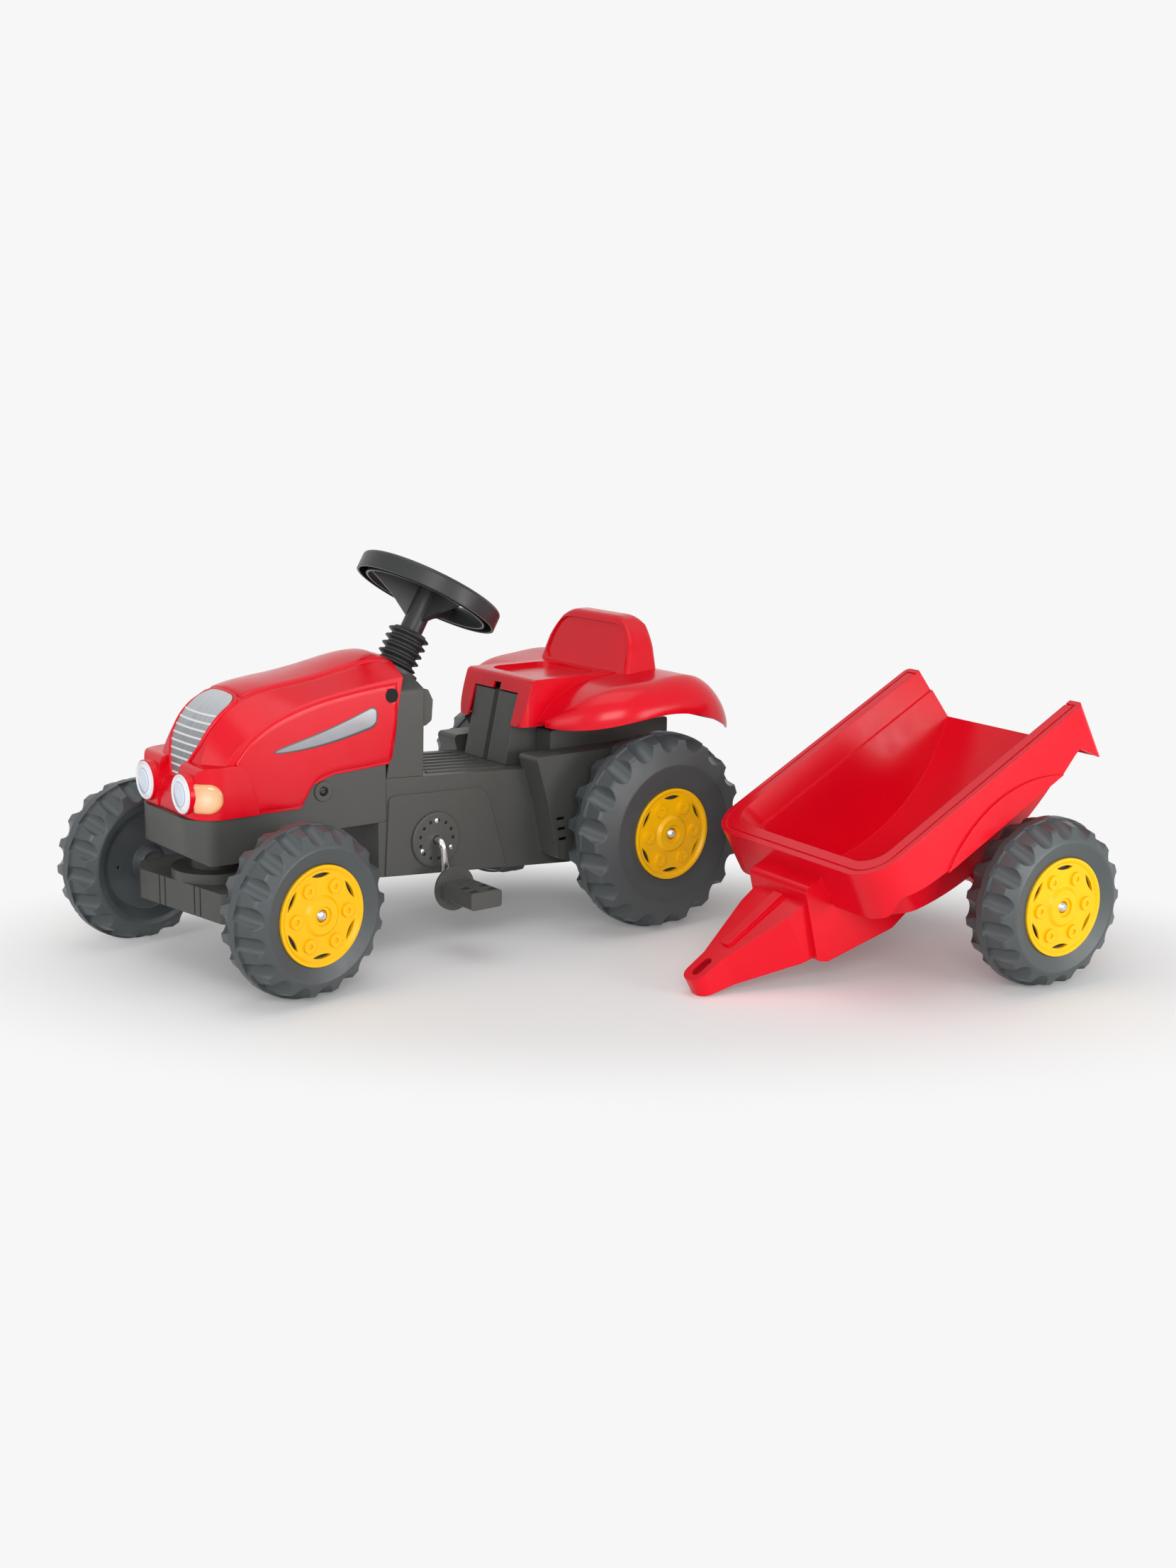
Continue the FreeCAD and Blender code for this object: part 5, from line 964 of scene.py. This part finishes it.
def seat_moulding():
    """The seat's own mesh, made finer at the backrest and reshaped there."""
    form = bmesh.new()
    form.from_mesh(nodes["seat_shell"].data)
    bmesh.ops.remove_doubles(form, verts=form.verts, dist=weld_gap)
    for _ in range(back_passes):
        long_edges = []
        for edge in form.edges:
            if any(on_back(vert.co) for vert in edge.verts) and edge.calc_length() > back_step:
                long_edges.append(edge)
        bmesh.ops.subdivide_edges(form, edges=long_edges, cuts=1)
        bmesh.ops.triangulate(form, faces=[face for face in form.faces if len(face.verts) > 3])
    for vert in form.verts:
        if on_back(vert.co):
            vert.co = rounded_back(vert.co)
    bmesh.ops.remove_doubles(form, verts=form.verts, dist=weld_gap)
    bmesh.ops.dissolve_degenerate(form, dist=weld_gap, edges=form.edges)
    for edge in form.edges:
        edge.smooth = len(edge.link_faces) == 2 and edge.calc_face_angle() < sharp_angle
    thing = piece("seat_moulding", form, looks["red_plastic"], "chassis")
    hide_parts("seat_shell")


# Studio, camera and light

def shown_rays(tree):
    """1 for rays from the camera, a mirror or glass, 0 for rays that carry light."""
    path = tree.nodes.new("ShaderNodeLightPath")
    total = path.outputs["Is Camera Ray"]
    for name in ("Is Glossy Ray", "Is Transmission Ray"):
        node = tree.nodes.new("ShaderNodeMath")
        node.operation = "MAXIMUM"
        tree.links.new(total, node.inputs[0])
        tree.links.new(path.outputs[name], node.inputs[1])
        total = node.outputs["Value"]
    return total


def studio_world():
    world = bpy.data.worlds.new("studio")
    world.use_nodes = True
    scene.world = world
    tree = world.node_tree
    light = tree.nodes["Background"]
    light.inputs["Color"].default_value = (1.0, 1.0, 1.0, 1.0)
    light.inputs["Strength"].default_value = ambient_strength
    shown = tree.nodes.new("ShaderNodeBackground")
    shown.inputs["Color"].default_value = background
    mix = tree.nodes.new("ShaderNodeMixShader")
    tree.links.new(shown_rays(tree), mix.inputs["Fac"])
    tree.links.new(light.outputs["Background"], mix.inputs[1])
    tree.links.new(shown.outputs["Background"], mix.inputs[2])
    tree.links.new(mix.outputs["Shader"], tree.nodes["World Output"].inputs["Surface"])


def studio_floor():
    """A pale floor: its shade stays near the object and fades into the backdrop further out."""
    form = bmesh.new()
    bmesh.ops.create_grid(form, x_segments=2, y_segments=2, size=floor_size)
    mesh = bpy.data.meshes.new("floor")
    form.to_mesh(mesh)
    form.free()
    floor = bpy.data.objects.new("floor", mesh)
    scene.collection.objects.link(floor)
    material = bpy.data.materials.new("floor")
    material.use_nodes = True
    tree = material.node_tree
    shader = tree.nodes["Principled BSDF"]
    shader.inputs["Roughness"].default_value = floor_roughness
    shader.inputs["Specular IOR Level"].default_value = floor_specular
    shader.inputs["Base Color"].default_value = floor_colour
    glow = tree.nodes.new("ShaderNodeEmission")
    glow.inputs["Color"].default_value = background
    place = tree.nodes.new("ShaderNodeTexCoord")
    oval = tree.nodes.new("ShaderNodeMapping")
    oval.vector_type = "TEXTURE"
    oval.inputs["Location"].default_value = (*floor_centre, 0.0)
    oval.inputs["Rotation"].default_value = (0.0, 0.0, floor_turn)
    oval.inputs["Scale"].default_value = (1.0, floor_narrow, 1.0)
    tree.links.new(place.outputs["Object"], oval.inputs["Vector"])
    offset = tree.nodes.new("ShaderNodeVectorMath")
    offset.operation = "LENGTH"
    tree.links.new(oval.outputs["Vector"], offset.inputs[0])
    fade = tree.nodes.new("ShaderNodeMapRange")
    fade.interpolation_type = "SMOOTHSTEP"
    fade.inputs["From Min"].default_value = fade_start
    fade.inputs["From Max"].default_value = fade_end
    fade.inputs["To Min"].default_value = floor_glow
    fade.inputs["To Max"].default_value = 1.0
    tree.links.new(offset.outputs["Value"], fade.inputs["Value"])
    share = tree.nodes.new("ShaderNodeMath")
    share.operation = "MULTIPLY"
    tree.links.new(fade.outputs["Result"], share.inputs[0])
    tree.links.new(shown_rays(tree), share.inputs[1])
    mix = tree.nodes.new("ShaderNodeMixShader")
    tree.links.new(share.outputs["Value"], mix.inputs["Fac"])
    tree.links.new(shader.outputs["BSDF"], mix.inputs[1])
    tree.links.new(glow.outputs["Emission"], mix.inputs[2])
    tree.links.new(mix.outputs["Shader"], tree.nodes["Material Output"].inputs["Surface"])
    mesh.materials.append(material)


def soft_box(name, place, aim, size, power):
    lamp = bpy.data.lights.new(name, "AREA")
    lamp.shape = "RECTANGLE"
    lamp.size, lamp.size_y = size
    lamp.energy = power
    holder = bpy.data.objects.new(name, lamp)
    scene.collection.objects.link(holder)
    holder.location = place
    holder.rotation_euler = (Vector(aim) - Vector(place)).to_track_quat("-Z", "Y").to_euler()


def studio_lights():
    for row in soft_boxes:
        soft_box(*row)


def photo_camera():
    data = bpy.data.cameras.new("camera")
    data.sensor_width = sensor_size
    data.lens = focal_pixels / image_height * sensor_size
    camera = bpy.data.objects.new("camera", data)
    scene.collection.objects.link(camera)
    level = math.cos(camera_pitch)
    back = Vector((math.cos(camera_yaw) * level, math.sin(camera_yaw) * level, math.sin(camera_pitch)))
    right = Vector((0.0, 0.0, 1.0)).cross(back).normalized()
    up = back.cross(right)
    cosine, sine = math.cos(camera_roll), math.sin(camera_roll)
    turned_right = right * cosine + up * sine
    turned_up = up * cosine - right * sine
    turn = Matrix((turned_right, turned_up, back)).transposed().to_4x4()
    camera.matrix_world = Matrix.Translation(camera_place) @ turn
    scene.camera = camera


def main():
    scene.view_settings.view_transform = "Standard"
    dress_nodes()
    bellows()
    hood_skin = skin_of("hood")
    hood_cheeks(hood_skin)
    hood_blades(hood_skin)
    hood_spine(hood_skin)
    grille_lip(hood_skin)
    pod_walls()
    seat_moulding()
    indicators()
    lamp_rings()
    crank_rivets()
    boss_screws()
    studio_world()
    studio_floor()
    studio_lights()
    photo_camera()


main()
